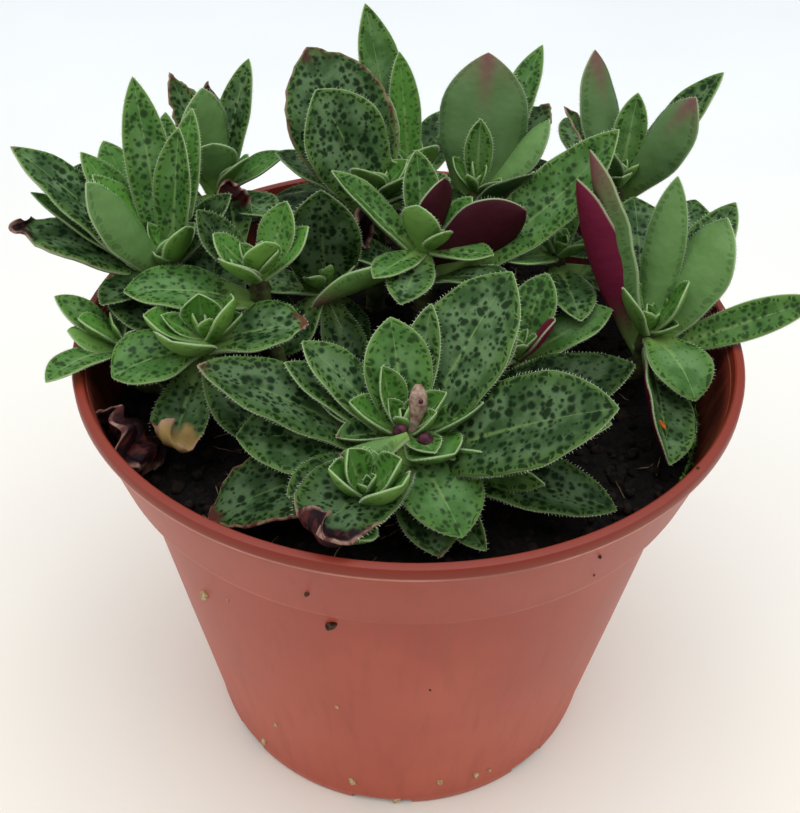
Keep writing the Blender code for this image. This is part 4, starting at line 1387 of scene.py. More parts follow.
SHOOTS = (
    Shoot("rosette_front", (2, -16), (0, -21, 65), 1.7, (
        Leaf(45, 50, 25, 12.5, Look.SPOTTED, -10),
        Leaf(-16, 33, 27, 12, Look.DIM, -15, 0.2, 25),
        Leaf(173, 26, 26.3, 10, Look.FRECKLED),
        Leaf(-177, 8, 19.3, 11, Look.SPOTTED, -15, 0.2, -15),
        Leaf(-114, 9, 24, 10.5, Look.PURPLE_END, -42),
        Leaf(14, 22, 29, 11.5, Look.SHADED),
        Leaf(47, 29, 21, 8.5, Look.DIM),
        Leaf(106, 60, 14.8, 8, Look.SAGE),
        Leaf(155, 40, 17, 7),
        Leaf(-63, -9, 14, 9.5, Look.SAGE, -30),
        Leaf(-159, -6, 23.7, 12, Look.RAGGED, -30),
        Leaf(-17, 0, 24.6, 9.5, Look.DEEP),
        Leaf(5, 14, 24, 5, Look.FRESH, 0, 0.3, 20),
        Leaf(-31, 9, 19, 5.5, Look.PLAIN, -10, 0.2, 90),
        Leaf(-72, -22, 14, 7.5, Look.TIPPED),
        Leaf(-52, -23, 15, 4.5, Look.ROSY, 0, 0.6, 40),
        Leaf(-175, -10, 18, 9, Look.DEEP),
        Leaf(160, 32, 16.9, 6),
        Leaf(76, 62, 16.8, 4.5, Look.SPOTTED, 0, 0.5),
        Leaf(166, 28, 13, 6.5, Look.SAGE, 30, 0.5),
        Leaf(-175, 40, 8, 5, Look.FRESH, 30, 0.5),
        Leaf(140, 62, 9, 4, Look.FRESH, 30, 0.6),
        Leaf(15, 50, 6.6, 4, Look.FRESH, 30, 0.6),
        Leaf(0, 34, 10, 4, Look.SAGE, 30, 0.6),
        Leaf(-12, -4, 9.4, 6, Look.SAGE, -10),
        Leaf(-48, 20, 8.5, 7, Look.CUPPED, 60, 0.3),
        Leaf(-163, 10, 8, 4, Look.TIPPED, 0, 0.6),
        Leaf(-60, 12, 6.5, 4, Look.SAGE, 0, 0.3),
    ), 2, 1),
    Shoot("rosette_front", (0, -21, 60), (-4, -31.8, 65.2), 1.1, (
        Leaf(-122, 14, 8.5, 9, Look.FRESH, 60, 0.3),
        Leaf(-165, 50, 6, 5, Look.FRESH, 30, 0.5),
        Leaf(150, 72, 6, 4.5, Look.FRESH, 30, 0.5),
        Leaf(-47, 41, 8, 6, Look.FRESH, 30, 0.4),
        Leaf(8, 57, 6, 5, Look.FRESH, 30, 0.5),
        Leaf(95, 70, 5, 4, Look.YOUNG, 30, 0.5),
    ), 0, 2),
    Shoot("rosette_front", (0, -21, 63), (1.2, -20, 71.5), 0.8, (), 0, 0),
    Shoot("rosette_middle", (2, 5), (2, 8, 72), 1.5, (
        Leaf(12, 40, 32, 9, Look.SAGE, 40, 0.3, 25),
        Leaf(105, 65, 14, 5, Look.SAGE, 0, 0.5),
        Leaf(30, 45, 9, 5, Look.FRESH, 20),
        Leaf(-120, 75, 8, 6, Look.FRESH, 30),
        Leaf(160, 40, 17, 5, Look.SAGE, 0, 0.5),
        Leaf(172, 20, 13, 6, Look.SPOTTED, 0, 0.4, 0, 5),
        Leaf(13, 32, 14.6, 8.5, Look.MAROON, 0, 0.2, -85),
        Leaf(33, 64, 10.7, 6.5, Look.MAROON, 0, 0.2, -75),
        Leaf(-60, 60, 6, 4, Look.YOUNG, 30),
        Leaf(-20, 10, 9, 5, Look.SAGE, 0),
        Leaf(-162, -16, 16, 5.5, Look.BLUSHED, -15, 0.3, 60),
        Leaf(-106, -4, 11, 6),
        Leaf(170, -10, 15, 5),
        Leaf(-130, 5, 10, 5, Look.SAGE),
    ), 2, 3),
    Shoot("rosette_right", (27, 0), (31, -1, 66), 1.6, (
        Leaf(142, 63, 29, 6.5, Look.ROSY, 10, 0.6, 55),
        Leaf(148, 56, 26, 6.5, Look.MAGENTA, 25, 0.7, 60),
        Leaf(-102, 110, 23.6, 5.2, Look.PALE, 0, 0.3),
        Leaf(-146, 122, 19.6, 9, Look.PALE, 0, 0.3),
        Leaf(47, 61, 22.6, 7),
        Leaf(-6, 26, 22, 4.8, Look.SAGE, 0, 0.3, 45),
        Leaf(-69, -7, 12, 8, Look.PLAIN, -60),
        Leaf(-88, -14, 18, 8, Look.MAGENTA, -10, 0.5, -35),
        Leaf(95, 51, 21, 11),
        Leaf(67, 48, 23, 11),
        Leaf(-160, 60, 9, 5, Look.FRESH, 20),
        Leaf(-10, 70, 9, 5, Look.FRESH, 20),
    ), 0, 4),
    Shoot("rosette_bud", (-17, -1), (-19, 0, 72), 1.4, (
        Leaf(-168, 13, 16.9, 10, Look.SAGE, -20, 0.2, 0, 4),
        Leaf(165, 45, 7.6, 5, Look.FRESH, 20),
        Leaf(58, 56, 10.6, 5.5, Look.FRESH, 20),
        Leaf(-60, 70, 7, 5, Look.YOUNG, 20),
        Leaf(25, 50, 9, 5, Look.YOUNG, 20),
        Leaf(152, 50, 11.8, 6, Look.DEEP, 20),
        Leaf(-120, 45, 8, 5, Look.YOUNG, 20),
    ), 0, 14),
    Shoot("rosette_cup", (-22, -6), (-25, -8, 68), 1.4, (
        Leaf(14, 13, 12.8, 10, Look.RUSTY),
        Leaf(-110, 35, 8, 8, Look.FRESH, 60, 0.3),
        Leaf(105, 60, 6, 5, Look.YOUNG, 40, 0.4),
        Leaf(-150, -3, 11.5, 11, Look.SAGE),
        Leaf(-103, -28, 15, 7, Look.TAN_TIP),
        Leaf(-10, 60, 8, 6, Look.YOUNG, 40, 0.4),
        Leaf(-170, 60, 8, 6, Look.YOUNG, 40, 0.4),
        Leaf(-60, -20, 14, 6, Look.DEEP),
    ), 2, 13),
    Shoot("rosette_left", (-27, 4), (-32, 6, 70), 1.6, (
        Leaf(173, 48, 26.7, 9, Look.TIPPED),
        Leaf(-172, 28, 20.8, 9.5, Look.CHARRED),
        Leaf(178, 36, 20.4, 5, Look.FRESH, 0, 0.3),
        Leaf(33, 118, 19, 7, Look.PALE, 0, 0.3, -45),
        Leaf(165, 64, 16, 6, Look.YOUNG),
        Leaf(150, 58, 19.8, 6, Look.FRESH),
        Leaf(127, 45, 21.5, 7, Look.FRESH),
        Leaf(110, 68, 28.3, 6, Look.SAGE),
        Leaf(92, 64, 22.6, 6, Look.SAGE),
        Leaf(70, 72, 20.4, 5.5, Look.SAGE, 0, 0.4),
        Leaf(80, 54, 24, 5, Look.FRESH),
        Leaf(-40, 60, 9, 5, Look.YOUNG, 20),
        Leaf(-120, 25, 12, 6, Look.DEEP),
        Leaf(35, 42, 13, 6, Look.DEEP),
    ), 3, 11),
    Shoot("rosette_low_left", (-30, -5), (-36, -5, 64.5), 1.3, (
        Leaf(-118, 14, 14, 5, Look.SAGE, -50),
        Leaf(170, 42, 10.6, 5, Look.SAGE),
        Leaf(24, 140, 8, 5.5, Look.FRESH, 0),
        Leaf(-155, 50, 7, 5, Look.YOUNG),
        Leaf(70, 50, 9, 5, Look.SAGE),
    ), 1, 12),
    Shoot("rosette_centre", (-11, 6), (-11.5, 7, 66), 1.3, (
        Leaf(98, 62, 17.4, 10, Look.DEEP),
        Leaf(10, 42, 7.4, 4, Look.FRESH, 20),
        Leaf(-30, -25, 9.5, 5.5, Look.DEEP),
        Leaf(-130, -15, 10, 6),
        Leaf(180, 10, 11, 6),
        Leaf(40, 10, 11, 6),
        Leaf(135, 50, 14, 7),
        Leaf(-60, -12, 12, 6, Look.DEEP),
    ), 0, 16),
    Shoot("rosette_inner", (14, -4), (14, -3, 63), 1.3, (
        Leaf(60, 55, 12, 6, Look.SAGE),
        Leaf(15, 30, 14, 7, Look.PLAIN),
        Leaf(120, 40, 13, 6, Look.SAGE),
        Leaf(-150, 15, 10, 5),
        Leaf(-60, 15, 12, 6),
        Leaf(-20, 60, 8, 5, Look.RED_TOP, 20),
    ), 1, 15),
    Shoot("rosette_back_right", (25, 16), (28.5, 19.5, 76), 1.5, (
        Leaf(-59, 116, 21.4, 6.5, Look.PINK_TIP, 0, 0.3),
        Leaf(72, 74, 13.6, 4.5, Look.PLAIN),
        Leaf(20, 55, 22, 7),
        Leaf(167, 117, 18, 8, Look.PINK_TIP, 0, 0.3, 40),
        Leaf(145, 47, 14, 4, Look.EDGED),
        Leaf(-150, 60, 9, 5),
        Leaf(110, 15, 18, 7),
    ), 1, 5),
    Shoot("rosette_behind", (16, 10), (20, 12, 69), 1.4, (
        Leaf(150, 10, 14, 6),
        Leaf(-150, 40, 10, 6, Look.FRESH),
        Leaf(-20, 0, 16, 7),
        Leaf(-80, 0, 14, 6),
        Leaf(90, 60, 12, 6, Look.SAGE),
    ), 2, 6),
    Shoot("rosette_back", (0, 22), (0, 25, 73), 1.5, (
        Leaf(126, 66, 29.2, 7.5, Look.PLAIN, 10, 0.3),
        Leaf(107, 68, 20.5, 4.6, Look.YOUNG, 0, 0.3),
        Leaf(-60, 60, 9, 5, Look.YOUNG),
        Leaf(60, 35, 14, 7),
    ), 4, 7),
    Shoot("rosette_back_left", (-5, 17), (-5, 19.5, 73), 1.5, (
        Leaf(138, 60, 25.8, 15, Look.EDGED, -15, 0.2, -25),
        Leaf(168, 66, 19.5, 12, Look.SPOTTED, -15, 0.2, -45),
        Leaf(91, 56, 19.5, 7, Look.CHARRED),
        Leaf(-45, 45, 10, 5, Look.FRESH),
        Leaf(-20, 30, 12, 6),
        Leaf(165, 25, 16, 7),
        Leaf(-110, 55, 9, 5, Look.FRESH),
    ), 3, 9),
    Shoot("rosette_back_middle", (9, 19), (9, 22, 73), 1.5, (
        Leaf(-97, 110, 22.3, 12.5, Look.PINK_TIP, 0, 0.3),
        Leaf(58, 54, 26.5, 5.5, Look.SAGE, -15, 0.3),
        Leaf(48, 36, 19, 8, Look.EDGED),
        Leaf(-158, 131, 15.8, 6.5, Look.PALE, 0, 0.3),
        Leaf(88, 82, 11.1, 4, Look.PLAIN, 0, 0.3),
        Leaf(30, 12, 13, 7, Look.DEEP),
    ), 4, 8),
    Shoot("rosette_far_left", (-24, 20), (-28, 23, 72), 1.5, (
        Leaf(61, 64, 21.4, 5.5),
        Leaf(-50, 104, 17, 7.5, Look.PALE, 0, 0.3),
        Leaf(136, 65, 19.3, 5.5, Look.EDGED),
        Leaf(116, 43, 19.5, 6, Look.EDGED),
        Leaf(98, 66, 17, 5.5, Look.PURPLE_END),
        Leaf(20, 26, 11.3, 5.5, Look.FRESH),
        Leaf(-75, 74, 9, 6.5, Look.PALE),
        Leaf(-20, 55, 8, 5, Look.FRESH),
        Leaf(-45, 10, 13, 7),
        Leaf(-100, 5, 12, 6),
    ), 4, 10),
)


@dataclass
class CadLeaves:
    """Finds each leaf of one CAD node, which the CAD may have moved a little to clear its neighbours."""

    node: str
    short_blade: float = 10.5
    rings: int = 6
    short_rings: int = 4
    near: float = 0.01
    scales: Point = (1.0, 0.9, 0.8)
    rises: range = range(-24, 31, 3)
    azimuths: range = range(-18, 19, 3)
    scale_cost: float = 90

    def __post_init__(self) -> None:
        """Put the node's corners in a search tree."""
        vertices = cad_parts[self.node].data.vertices
        self.tree = KDTree(len(vertices))
        for i, vertex in enumerate(vertices):
            self.tree.insert(vertex.co / MM, i)
        self.tree.balance()

    def moves(self) -> list[tuple[int, int, float]]:
        """List the changes of rise, azimuth and length that the CAD tries, the smallest first."""
        tries = product(self.rises, self.azimuths, self.scales)
        return sorted(tries, key=lambda m: (abs(m[0]) + abs(m[1]) + self.scale_cost * (1 - m[2]), m))

    def find(self, leaf: Leaf, root: Callable[[Leaf], Array]) -> Leaf | None:
        """Find a leaf in the CAD node by the corners at its tip.

        Args:
            leaf: The leaf as it was asked for.
            root: Gives where a leaf starts.

        Returns:
            The leaf as it stands, or None if the CAD left it out.
        """
        rings = self.short_rings if leaf.length < self.short_blade else self.rings
        last = (1 + math.cos(math.pi / rings)) / 2
        shares = np.array([1.0, last, last])
        across = np.array([0.0, 1.0, -1.0])
        for rise, azimuth, scale in self.moves():
            size = {"length": leaf.length * scale, "width": leaf.width * scale}
            trial = replace(leaf, rise=leaf.rise + rise, azimuth=leaf.azimuth + azimuth, **size)
            middle, _, wide, face = BLADE_FORM.lines(trial, root(trial), shares)
            half = BLADE_FORM.half_width(trial, shares)
            lift = trial.fold * half * across**2
            corners = middle + wide * (half * across)[:, None] + face * lift[:, None]
            if any(self.tree.find(Vector(corner))[2] < self.near for corner in corners):
                return trial
        return None


@dataclass(frozen=True)
class Blades:
    """Leaves that share one shape, a sphere that is flattened and bent for each, and one skin."""

    sphere: Shape
    skin: Material

    def build(
        self, name: str, leaves: list[tuple[Leaf, Array]], draw: Draw, slot: Slot, *nodes: str
    ) -> Piece:
        """Copy the shape to each leaf, bend it there, and note what the skin depends on.

        Args:
            name: The piece's name.
            leaves: Each leaf and its root.
            draw: The random numbers.
            slot: The record's material slot that it takes its finish from.
            *nodes: The CAD nodes that it replaces.

        Returns:
            The piece with all the blades.
        """
        sphere, faces = self.sphere
        along = (1 + sphere[:, 2]) / 2
        round_ = np.maximum(np.hypot(sphere[:, 0], sphere[:, 1]), 1e-9)
        across, up = (np.where(round_ > 1e-6, sphere[:, i] / round_, 0) for i in (0, 1))
        side = np.where(np.abs(up) < 1e-6, 0.5, (up > 0).astype(float))
        points, at, on, tones, wear = [], [], [], [], []
        for i, (leaf, root) in enumerate(leaves):
            tone = leaf.look.value
            points.append(BLADE_FORM.points(leaf, root, along, across, up, draw.uniform(*ANY_ANGLE)))
            half = BLADE_FORM.half_width(leaf, along)
            number = np.full(len(along), 17.0 * i + draw.uniform(0, 5))
            at.append(np.stack([across * half, along * leaf.length, number], axis=1))
            on.append(np.stack([along, (1 - np.abs(across)) * half, side], axis=1))
            tones.append(np.tile([tone.spots, tone.youth, tone.flush, tone.pale], (len(along), 1)))
            wear.append(np.tile([tone.tip, tone.margin, tone.char], (len(along), 1)))
        shape = np.concatenate(points), copied(faces, len(sphere), len(leaves))
        piece = make_piece(name, shape, self.skin, slot, *nodes)
        for attribute, kind, rows in (
            ("blade_at", "vector", at),
            ("blade_on", "vector", on),
            ("wear", "vector", wear),
            ("tone", "color", tones),
        ):
            layer = piece.data.attributes.new(attribute, "FLOAT_" + kind.upper(), "POINT")
            layer.data.foreach_set(kind, np.concatenate(rows).astype(np.float32).ravel())
        return piece


@dataclass
class Rosette:
    """One CAD node's stems and leaves, the hairs on the margins and the small leaves at the heart."""

    node: str
    blades: Blades
    stem_finish: Material
    hair_finish: Material
    old_lengths: Span = (16.0, 22.0)
    old_widths: Span = (0.36, 0.42)
    old_rises: Span = (0.0, 35.0)
    old_drops: Span = (3.5, 7.0)
    old_curl: float = -25.0
    full_length: float = 10.0
    hair_pitch: float = 0.4
    hair_length: Span = (0.2, 0.48)
    hair_radius: float = 0.04
    hair_from: float = 0.06
    hair_to: float = 0.99
    hair_to_worn: float = 0.55
    hair_sunk: float = 0.06
    hair_ahead: float = 0.45
    hair_lean: float = 0.25
    heart_lengths: tuple[float, ...] = (6.2, 5.8, 4.8, 4.4, 3.5, 3.2)
    heart_rises: tuple[float, ...] = (48.0, 52.0, 62.0, 66.0, 76.0, 78.0)
    heart_turns: Span = (-30, 30)
    heart_leans: Span = (-14, 9)
    heart_scales: Span = (0.75, 1.2)
    heart_widths: Span = (0.42, 0.64)
    heart_curls: Span = (10, 45)
    heart_fold: float = 0.5
    heart_twists: Span = (-25, 25)
    heart_lifts: Span = (0.1, 0.25)
    thin_shoot: float = 1.2
    stem_sides: int = 14
    stem_pitch: float = 0.4
    scar_pitch: float = 2.4

    def __post_init__(self) -> None:
        """Pick the node's shoots."""
        self.shoots = [shoot for shoot in SHOOTS if shoot.node == self.node]

    def old_leaves(self, shoot: Shoot) -> list[Leaf]:
        """Draw the lower leaves that fill the widest gaps round a stem, as the CAD does.

        Args:
            shoot: The shoot.

        Returns:
            The leaves.
        """
        draw = np.random.default_rng(shoot.seed)
        taken = sorted(leaf.azimuth % 360 for leaf in shoot.leaves if leaf.length > self.full_length)
        made = []
        for _ in range(shoot.old_leaves):
            gap, start = max(((b - a) % 360 or 360, a) for a, b in zip(taken, taken[1:] + taken[:1]))
            azimuth = (start + gap / 2) % 360
            taken = sorted(taken + [azimuth])
            length = draw.uniform(*self.old_lengths)
            width = length * draw.uniform(*self.old_widths)
            rise, drop = draw.uniform(*self.old_rises), draw.uniform(*self.old_drops)
            # The old low leaves take the darkened look: painted shade under the rosette.
            made.append(Leaf(azimuth, rise, length, width, Look.DEEP, self.old_curl, drop=drop))
        return made

    def placed(self) -> list[tuple[Leaf, Array]]:
        """Find this node's leaves in the CAD and add the heart of each rosette.

        Returns:
            Each leaf and where its middle line starts.
        """
        cad = CadLeaves(self.node)
        found, missing = [], 0
        for shoot in self.shoots:
            for leaf in [*shoot.leaves, *self.old_leaves(shoot)]:
                stands = cad.find(leaf, shoot.root)
                if stands:
                    found.append((stands, shoot.root(stands)))
                else:
                    missing += 1
            if shoot.leaves:
                found += self.heart(shoot)
        LOG.info("%s: %d leaves, %d left out by the CAD", self.node, len(found), missing)
        return found

    def heart(self, shoot: Shoot) -> list[tuple[Leaf, Array]]:
        """Draw the youngest leaves at the top of a shoot, in crossed pairs that lean each its own way.

        Args:
            shoot: The shoot.

        Returns:
            Each leaf and where its middle line starts.
        """
        draw = np.random.default_rng(shoot.seed + 100)
        turn = draw.uniform(0, 360)
        first = 0 if shoot.radius > self.thin_shoot else 3
        made = []
        for i, (length, rise) in enumerate(zip(self.heart_lengths, self.heart_rises)):
            azimuth = turn + 180 * (i % 2) + 90 * (i // 2) + draw.uniform(*self.heart_turns)
            rise += draw.uniform(*self.heart_leans)
            length *= draw.uniform(*self.heart_scales)
            width = length * draw.uniform(*self.heart_widths)
            look = Look.YOUNG if i > 1 else Look.FRESH
            curl, twist = draw.uniform(*self.heart_curls), draw.uniform(*self.heart_twists)
            leaf = Leaf(azimuth, rise, length, width, look, curl, self.heart_fold, twist)
            if i >= first:
                lift = self.heart_lifts[0] + self.heart_lifts[1] * (i // 2)
                made.append((leaf, np.array(shoot.crown, float) + (0, 0, lift)))
        return made

    def build(self) -> Piece:
        """Model the leaves, the hairs and the stems.

        Returns:
            The leaves, which replace the CAD node.
        """
        draw = np.random.default_rng(sum(shoot.seed for shoot in self.shoots) + 40)
        leaves = self.placed()
        piece = self.blades.build(self.node + "_leaves", leaves, draw, Slot.LEAF, self.node)
        make_piece(self.node + "_hairs", self.hairs(leaves, draw), self.hair_finish, Slot.LEAF)
        make_piece(self.node + "_stem", self.stems(), self.stem_finish, Slot.LEAF)
        return piece

    def hairs(self, leaves: list[tuple[Leaf, Array]], draw: Draw) -> Shape:
        """Stand a fine hair every few tenths of a millimetre along both margins of each leaf.

        Args:
            leaves: Each leaf and its root.
            draw: The random numbers.

        Returns:
            The points and faces of all the hairs.
        """
        rows = []
        for leaf, root in leaves:
            tone = leaf.look.value
            end = self.hair_to_worn if tone.margin else self.hair_to - tone.roll
            count = max(4, round(leaf.length * end / self.hair_pitch))
            for side in (-1.0, 1.0):
                along = np.linspace(self.hair_from, end, count)
                along += draw.uniform(-0.3, 0.3, count) / count * 0.6
                middle, tangent, wide, face = BLADE_FORM.lines(leaf, root, along)
                half = BLADE_FORM.half_width(leaf, along)[:, None]
                way = wide * side + tangent * self.hair_ahead
                way += face * draw.normal(0, self.hair_lean, (count, 1))
                way /= np.linalg.norm(way, axis=1)[:, None]
                size = draw.uniform(*self.hair_length, (count, 1)) * min(1.0, 0.5 + leaf.length / 20)
                start = middle + wide * (half * side) + face * (leaf.fold * half)
                rows.append((start - way * self.hair_sunk, way * size, face))
        start, way, face = (np.concatenate(parts) for parts in zip(*rows))
        other = np.cross(way, face)
        other /= np.linalg.norm(other, axis=1)[:, None]
        face = np.cross(other, way)
        face /= np.linalg.norm(face, axis=1)[:, None]
        angles = [TURN * k / 3 for k in range(3)]
        ring = [start + self.hair_radius * (math.cos(a) * other + math.sin(a) * face) for a in angles]
        points = np.stack([*ring, start + way], axis=1).reshape(-1, 3)
        return points, copied([[0, 1, 3], [1, 2, 3], [2, 0, 3], [0, 2, 1]], 4, len(start))

    def stems(self) -> Shape:
        """Sweep the stems, with a ring where each pair of old leaves has fallen and a tapered top.

        Returns:
            The points and faces of all the stems.
        """
        paths = []
        for shoot in self.shoots:
            if not shoot.leaves:
                continue
            corners = np.array(shoot.path())
            lengths = np.concatenate([[0], np.cumsum(np.linalg.norm(np.diff(corners, axis=0), axis=1))])
            steps = np.linspace(0, lengths[-1], max(8, round(lengths[-1] / self.stem_pitch)))
            line = np.stack([np.interp(steps, lengths, corners[:, i]) for i in range(3)], axis=1)
            for _ in range(4):
                line[1:-1] = (line[:-2] + 2 * line[1:-1] + line[2:]) / 4
            scars = np.maximum(0, np.cos(TURN * steps / self.scar_pitch)) ** 6
            taper = np.clip((lengths[-1] - steps) / 2.0, 0.0, 1.0) ** 0.5 * 0.75 + 0.25
            paths.append((line, shoot.radius * taper * (0.94 + 0.14 * scars)))
        return tubes(paths, self.stem_sides)


@dataclass
class WitheredLeaves:
    """The shrivelled leaf that leans on the pot's wall, and dried ones that still hang on the stems."""

    blades: Blades
    fallen: tuple[Leaf, Point] = (Leaf(-145, 45, 10, 10, Look.DEAD, 30, -0.45), (-30.0, -16.0, 56.6))
    hanging: tuple[tuple[Leaf, Point], ...] = (
        (Leaf(108, 66, 10.5, 5.2, Look.CURLED, 70, 0.5, 15), (-23.3, 10.5, 69.5)),
        (Leaf(105, 68, 5.6, 2.7, Look.DEAD, 10, 0.7), (-6.0, 9.6, 71.0)),
        (Leaf(22, 184, 8.0, 3.4, Look.DARK_TIP, -20, 0.45), (0.2, -26.3, 69.5)),
    )
    seed: int = 61

    def build(self) -> None:
        """Model the fallen leaf, which replaces its CAD node, and the hanging ones."""
        draw = np.random.default_rng(self.seed)
        leaf, root = self.fallen[0], np.array(self.fallen[1])
        stands = CadLeaves("dead_leaf").find(leaf, lambda _: root) or leaf
        self.blades.build("fallen_leaf", [(stands, root)], draw, Slot.DRY_LEAF, "dead_leaf")
        hanging = [(leaf, np.array(root)) for leaf, root in self.hanging]
        self.blades.build("dried_leaves", hanging, draw, Slot.DRY_LEAF)


@dataclass
class FlowerStalk:
    """The stub of a spent flower stalk in the front rosette, and two dried buds by its foot."""

    shoot: Shoot
    foot: Point = (0.5, -22.0, 65.6)
    radii: tuple[float, ...] = (0.45, 0.5, 0.62, 0.8, 0.98, 1.08, 1.05, 0.85, 0.4)
    bow: float = 0.35
    flatness: float = 0.75
    sides: int = 20
    buds: tuple[tuple[Point, float], ...] = (((-0.7, -22.9, 67.1), 0.85), ((2.2, -24.1, 66.8), 0.95))
    pore: tuple[Point, float] = ((1.55, -21.6, 70.4), 0.28)
    bud_shape: Point = (1.0, 0.9, 1.1)

    def build(self) -> None:
        """Model the stalk, and copy one round bud to each place and to the stalk's open pore."""
        steps = np.linspace(0, 1, len(self.radii))[:, None]
        line = np.array(self.foot) * (1 - steps) + np.array(self.shoot.crown, float) * steps
        line[:, 0] += self.bow * np.sin(math.pi * steps[:, 0])
        points, faces = tubes([(line, np.array(self.radii))], self.sides)
        middle = line[:, 1].repeat(self.sides)
        points[:, 1] = middle + (points[:, 1] - middle) * self.flatness
        make_piece("flower_stalk", (points, faces), STALK.material(), Slot.LEAF)
        sphere, faces = modelled("primitive_uv_sphere_add", segments=24, ring_count=16, radius=1.0)
        places = (*self.buds, self.pore)
        copies = [sphere * np.array(self.bud_shape) * size + place for place, size in places]
        shape = np.concatenate(copies), copied(faces, len(sphere), len(copies))
        make_piece("dried_buds", shape, BUD.material(), Slot.LEAF)


@dataclass(frozen=True)
class Softbox:
    """A square light: its name, where it hangs and what it faces in metres, its side, watts and colour."""

    name: str
    place: Point
    target: Point
    size: float
    power: float
    colour: str

    def build(self) -> None:
        """Hang the light."""
        data = bpy.data.lights.new(self.name, "AREA")
        data.size = self.size
        data.energy = self.power
        data.color = linear(self.colour)[:3]
        lamp = bpy.data.objects.new(self.name, data)
        bpy.context.scene.collection.objects.link(lamp)
        way = (Vector(self.target) - Vector(self.place)).to_track_quat("-Z", "Y")
        lamp.matrix_world = Matrix.Translation(self.place) @ way.to_matrix().to_4x4()


@dataclass
class Studio:
    """The camera as it stood for the photograph, a pale floor and soft light."""

    position: Point = (0.0, -110.15, 143.65)
    yaw: float = -0.4844
    pitch: float = 39.898
    roll: float = 1.186
    focal: float = 1036.03
    centre: Span = (400.0, 406.5)
    long_side: float = 813.0
    sensor: float = 36.0
    floor_size: float = 3.0
    near_clip: float = 0.005
    lights: tuple[Softbox, ...] = (
        Softbox("sky_panel", (0.02, 0.0, 0.76), (0, 0, 0.05), 0.95, 6.2, "#F6FAFF"),
        Softbox("left_fill", (-0.75, -0.3, 0.35), (0, 0, 0.04), 0.6, 1.3, "#FFF4E8"),
        Softbox("right_fill", (0.8, -0.35, 0.4), (0, 0, 0.04), 0.6, 1.1, "#FFF4E8"),
    )
    room: str = "#F7FAFC"
    room_strength: float = 0.55

    def axes(self) -> tuple[Vector, Vector, Vector]:
        """Work out how the camera is turned.

        Returns:
            Its right, up and forward directions.
        """
        yaw, pitch, roll = (math.radians(a) for a in (self.yaw, self.pitch, self.roll))
        ahead = Vector((math.sin(yaw) * math.cos(pitch), math.cos(yaw) * math.cos(pitch), -math.sin(pitch)))
        right = Vector((math.cos(yaw), -math.sin(yaw), 0.0))
        above = right.cross(ahead)
        turned_right = math.cos(roll) * right + math.sin(roll) * above
        turned_up = -math.sin(roll) * right + math.cos(roll) * above
        return turned_right, turned_up, ahead

    def ray(self, u: float, v: float) -> Vector:
        """Follow the sight line through a pixel of the photograph.

        Args:
            u: The pixel's place to the right.
            v: Its place down.

        Returns:
            The line's direction.
        """
        right, above, ahead = self.axes()
        x, y = u - self.centre[0], v - self.centre[1]
        return (ahead + right * (x / self.focal) - above * (y / self.focal)).normalized()

    def build(self) -> None:
        """Set the camera, the floor, the lights and the world."""
        scene = bpy.context.scene
        scene.view_settings.view_transform = "Standard"
        data = bpy.data.cameras.new("photo_camera")
        data.sensor_width = self.sensor
        data.lens = self.focal / self.long_side * self.sensor
        data.clip_start = self.near_clip
        camera = bpy.data.objects.new("photo_camera", data)
        scene.collection.objects.link(camera)
        right, above, ahead = self.axes()
        turn = Matrix((right, above, -ahead)).transposed().to_4x4()
        camera.matrix_world = Matrix.Translation(Vector(self.position) * MM) @ turn
        scene.camera = camera
        deselect_all()
        bpy.ops.mesh.primitive_plane_add(size=self.floor_size)
        floor = bpy.context.object
        floor.name = "floor"
        floor.data.materials.append(TableFinish().material())
        for light in self.lights:
            light.build()
        scene.world = bpy.data.worlds.new("room")
        scene.world.use_nodes = True
        backdrop = scene.world.node_tree.nodes["Background"].inputs
        backdrop["Color"].default_value = linear(self.room)
        backdrop["Strength"].default_value = self.room_strength


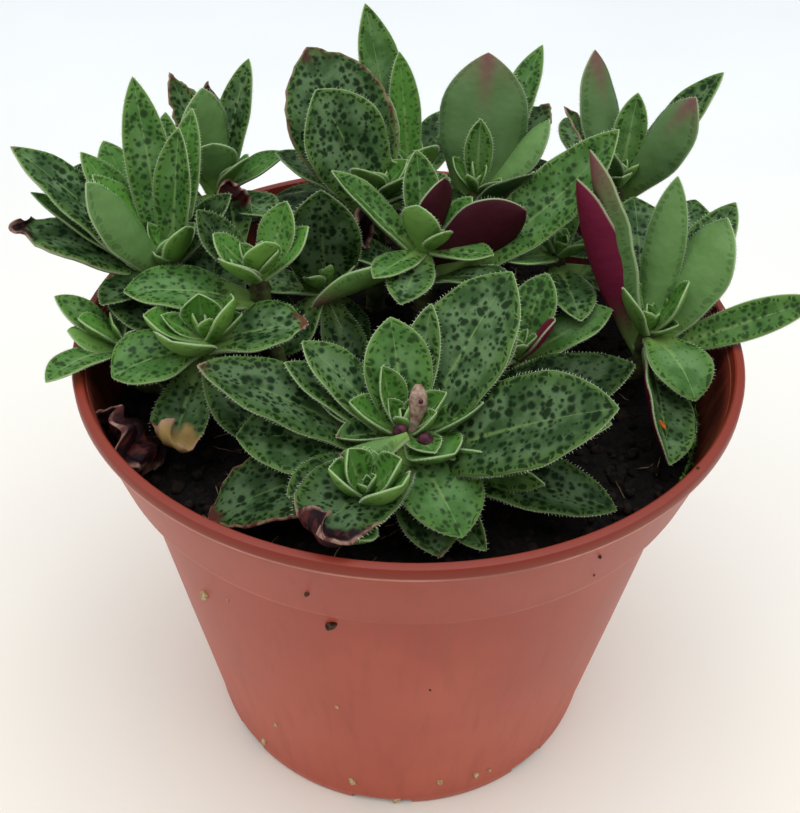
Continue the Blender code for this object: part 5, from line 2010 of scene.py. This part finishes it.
@dataclass
class StuckGrains:
    """Grains of grit and peat that cling to the outside of the pot, and a petal's scrap on a leaf.

    Each is given by the pixel where it shows in the photograph and by its length in millimetres.
    """

    pot: Pot
    studio: Studio
    pale: tuple[Point, ...] = (
        (205, 595, 2.4), (213, 668, 1.8), (228, 600, 0.6), (264, 741, 1.6), (275, 724, 1.1),
        (352, 781, 1.7), (440, 782, 1.4), (476, 775, 1.5), (489, 770, 1.0), (337, 707, 0.8),
    )
    dark: tuple[Point, ...] = (
        (307, 594, 1.0), (331, 625, 2.1), (600, 557, 0.7),
        (594, 575, 0.5), (698, 468, 0.7), (430, 690, 0.5),
    )
    turns: Span = (0.6, 2.2)
    flatness: Span = (0.55, 0.5)
    dents: Span = (-0.18, 0.18)
    scrap: Point = (663, 425, 2.3)
    scrap_width: float = 0.45
    scrap_thickness: float = 0.35
    reaches: Point = (60.0, 260.0, 0.05)
    seed: int = 71

    def on_pot(self, u: float, v: float) -> Array:
        """Follow a sight line to the outside of the pot.

        Args:
            u: Where the line crosses the picture, to the right.
            v: Where it crosses it, down.

        Returns:
            The point, in millimetres.
        """
        start, way = np.array(self.studio.position), np.array(self.studio.ray(u, v))
        for reach in np.arange(*self.reaches):
            x, y, z = start + way * reach
            if z < self.pot.height and math.hypot(x, y) < self.pot.radius_at(z):
                return np.array((x, y, z))
        return np.array((0.0, -self.pot.base_radius, 1.0))

    def grains(self, name: str, spots: Sequence[Point], finish: SpeckledFinish, bead: Shape) -> Piece:
        """Lay a flat grain on the wall at each place.

        Args:
            name: The piece's name.
            spots: Where each grain shows and how long it is.
            finish: The finish.
            bead: The shape that the grains are pressed from.

        Returns:
            The piece.
        """
        draw = np.random.default_rng(self.seed)
        sphere, faces = bead
        points = []
        for u, v, size in spots:
            place = self.on_pot(u, v)
            out = np.array((place[0], place[1], 0.0)) / math.hypot(place[0], place[1])
            turn = draw.uniform(*self.turns)
            long_way = np.array((-out[1] * math.cos(turn), out[0] * math.cos(turn), math.sin(turn)))
            wide, thick = np.cross(out, long_way) * self.flatness[0], out * self.flatness[1]
            dented = sphere * (1 + draw.uniform(*self.dents, sphere.shape))
            points.append(dented @ (np.stack([long_way, wide, thick]) * size) + place)
        shape = np.concatenate(points), copied(faces, len(sphere), len(points))
        return make_piece(name, shape, finish.material(), Slot.SOIL)

    def build(self, leaves: Piece) -> None:
        """Model the grains, and the scrap on the leaf that it lies on.

        Args:
            leaves: The piece with that leaf.
        """
        bead = modelled("primitive_ico_sphere_add", subdivisions=2, radius=0.5)
        self.grains("pale_grains", self.pale, GRIT, bead)
        self.grains("dark_grains", self.dark, DARK_GRIT, bead)
        u, v, size = self.scrap
        found, place, normal, _ = leaves.ray_cast(Vector(self.studio.position) * MM, self.studio.ray(u, v))
        if not found:
            LOG.warning("no leaf under the petal's scrap")
            return
        right = self.studio.axes()[0]
        long_way = (right - right.dot(normal) * normal).normalized()
        wide = normal.cross(long_way) * size * self.scrap_width
        axes = np.stack([long_way * size, wide, normal * self.scrap_thickness])
        points = bead[0] @ axes + np.array(place) / MM
        make_piece("petal_scrap", (points, bead[1]), PETAL.material(), Slot.DRY_LEAF)


def build_rosettes() -> dict[str, Piece]:
    """Build every leafy stem and what has withered on them.

    Returns:
        The leaves of each CAD node.
    """
    sphere = modelled("primitive_uv_sphere_add", segments=20, ring_count=30, radius=1.0)
    blades = Blades(sphere, LeafFinish().material())
    stem, hair = STEM.material(), HAIR.material()
    nodes = dict.fromkeys(shoot.node for shoot in SHOOTS)
    leaves = {node: Rosette(node, blades, stem, hair).build() for node in nodes}
    finer = modelled("primitive_uv_sphere_add", segments=48, ring_count=60, radius=1.0)
    WitheredLeaves(replace(blades, sphere=finer)).build()
    FlowerStalk(next(shoot for shoot in SHOOTS if not shoot.leaves)).build()
    return leaves


def main() -> None:
    """Build the studio and every piece."""
    logging.basicConfig(level=logging.INFO, format="%(message)s")
    studio = Studio()
    studio.build()
    pot = Pot()
    pot.build()
    Soil(pot).build()
    leaves = build_rosettes()
    StuckGrains(pot, studio).build(leaves["rosette_right"])


if __name__ == "__main__":
    main()
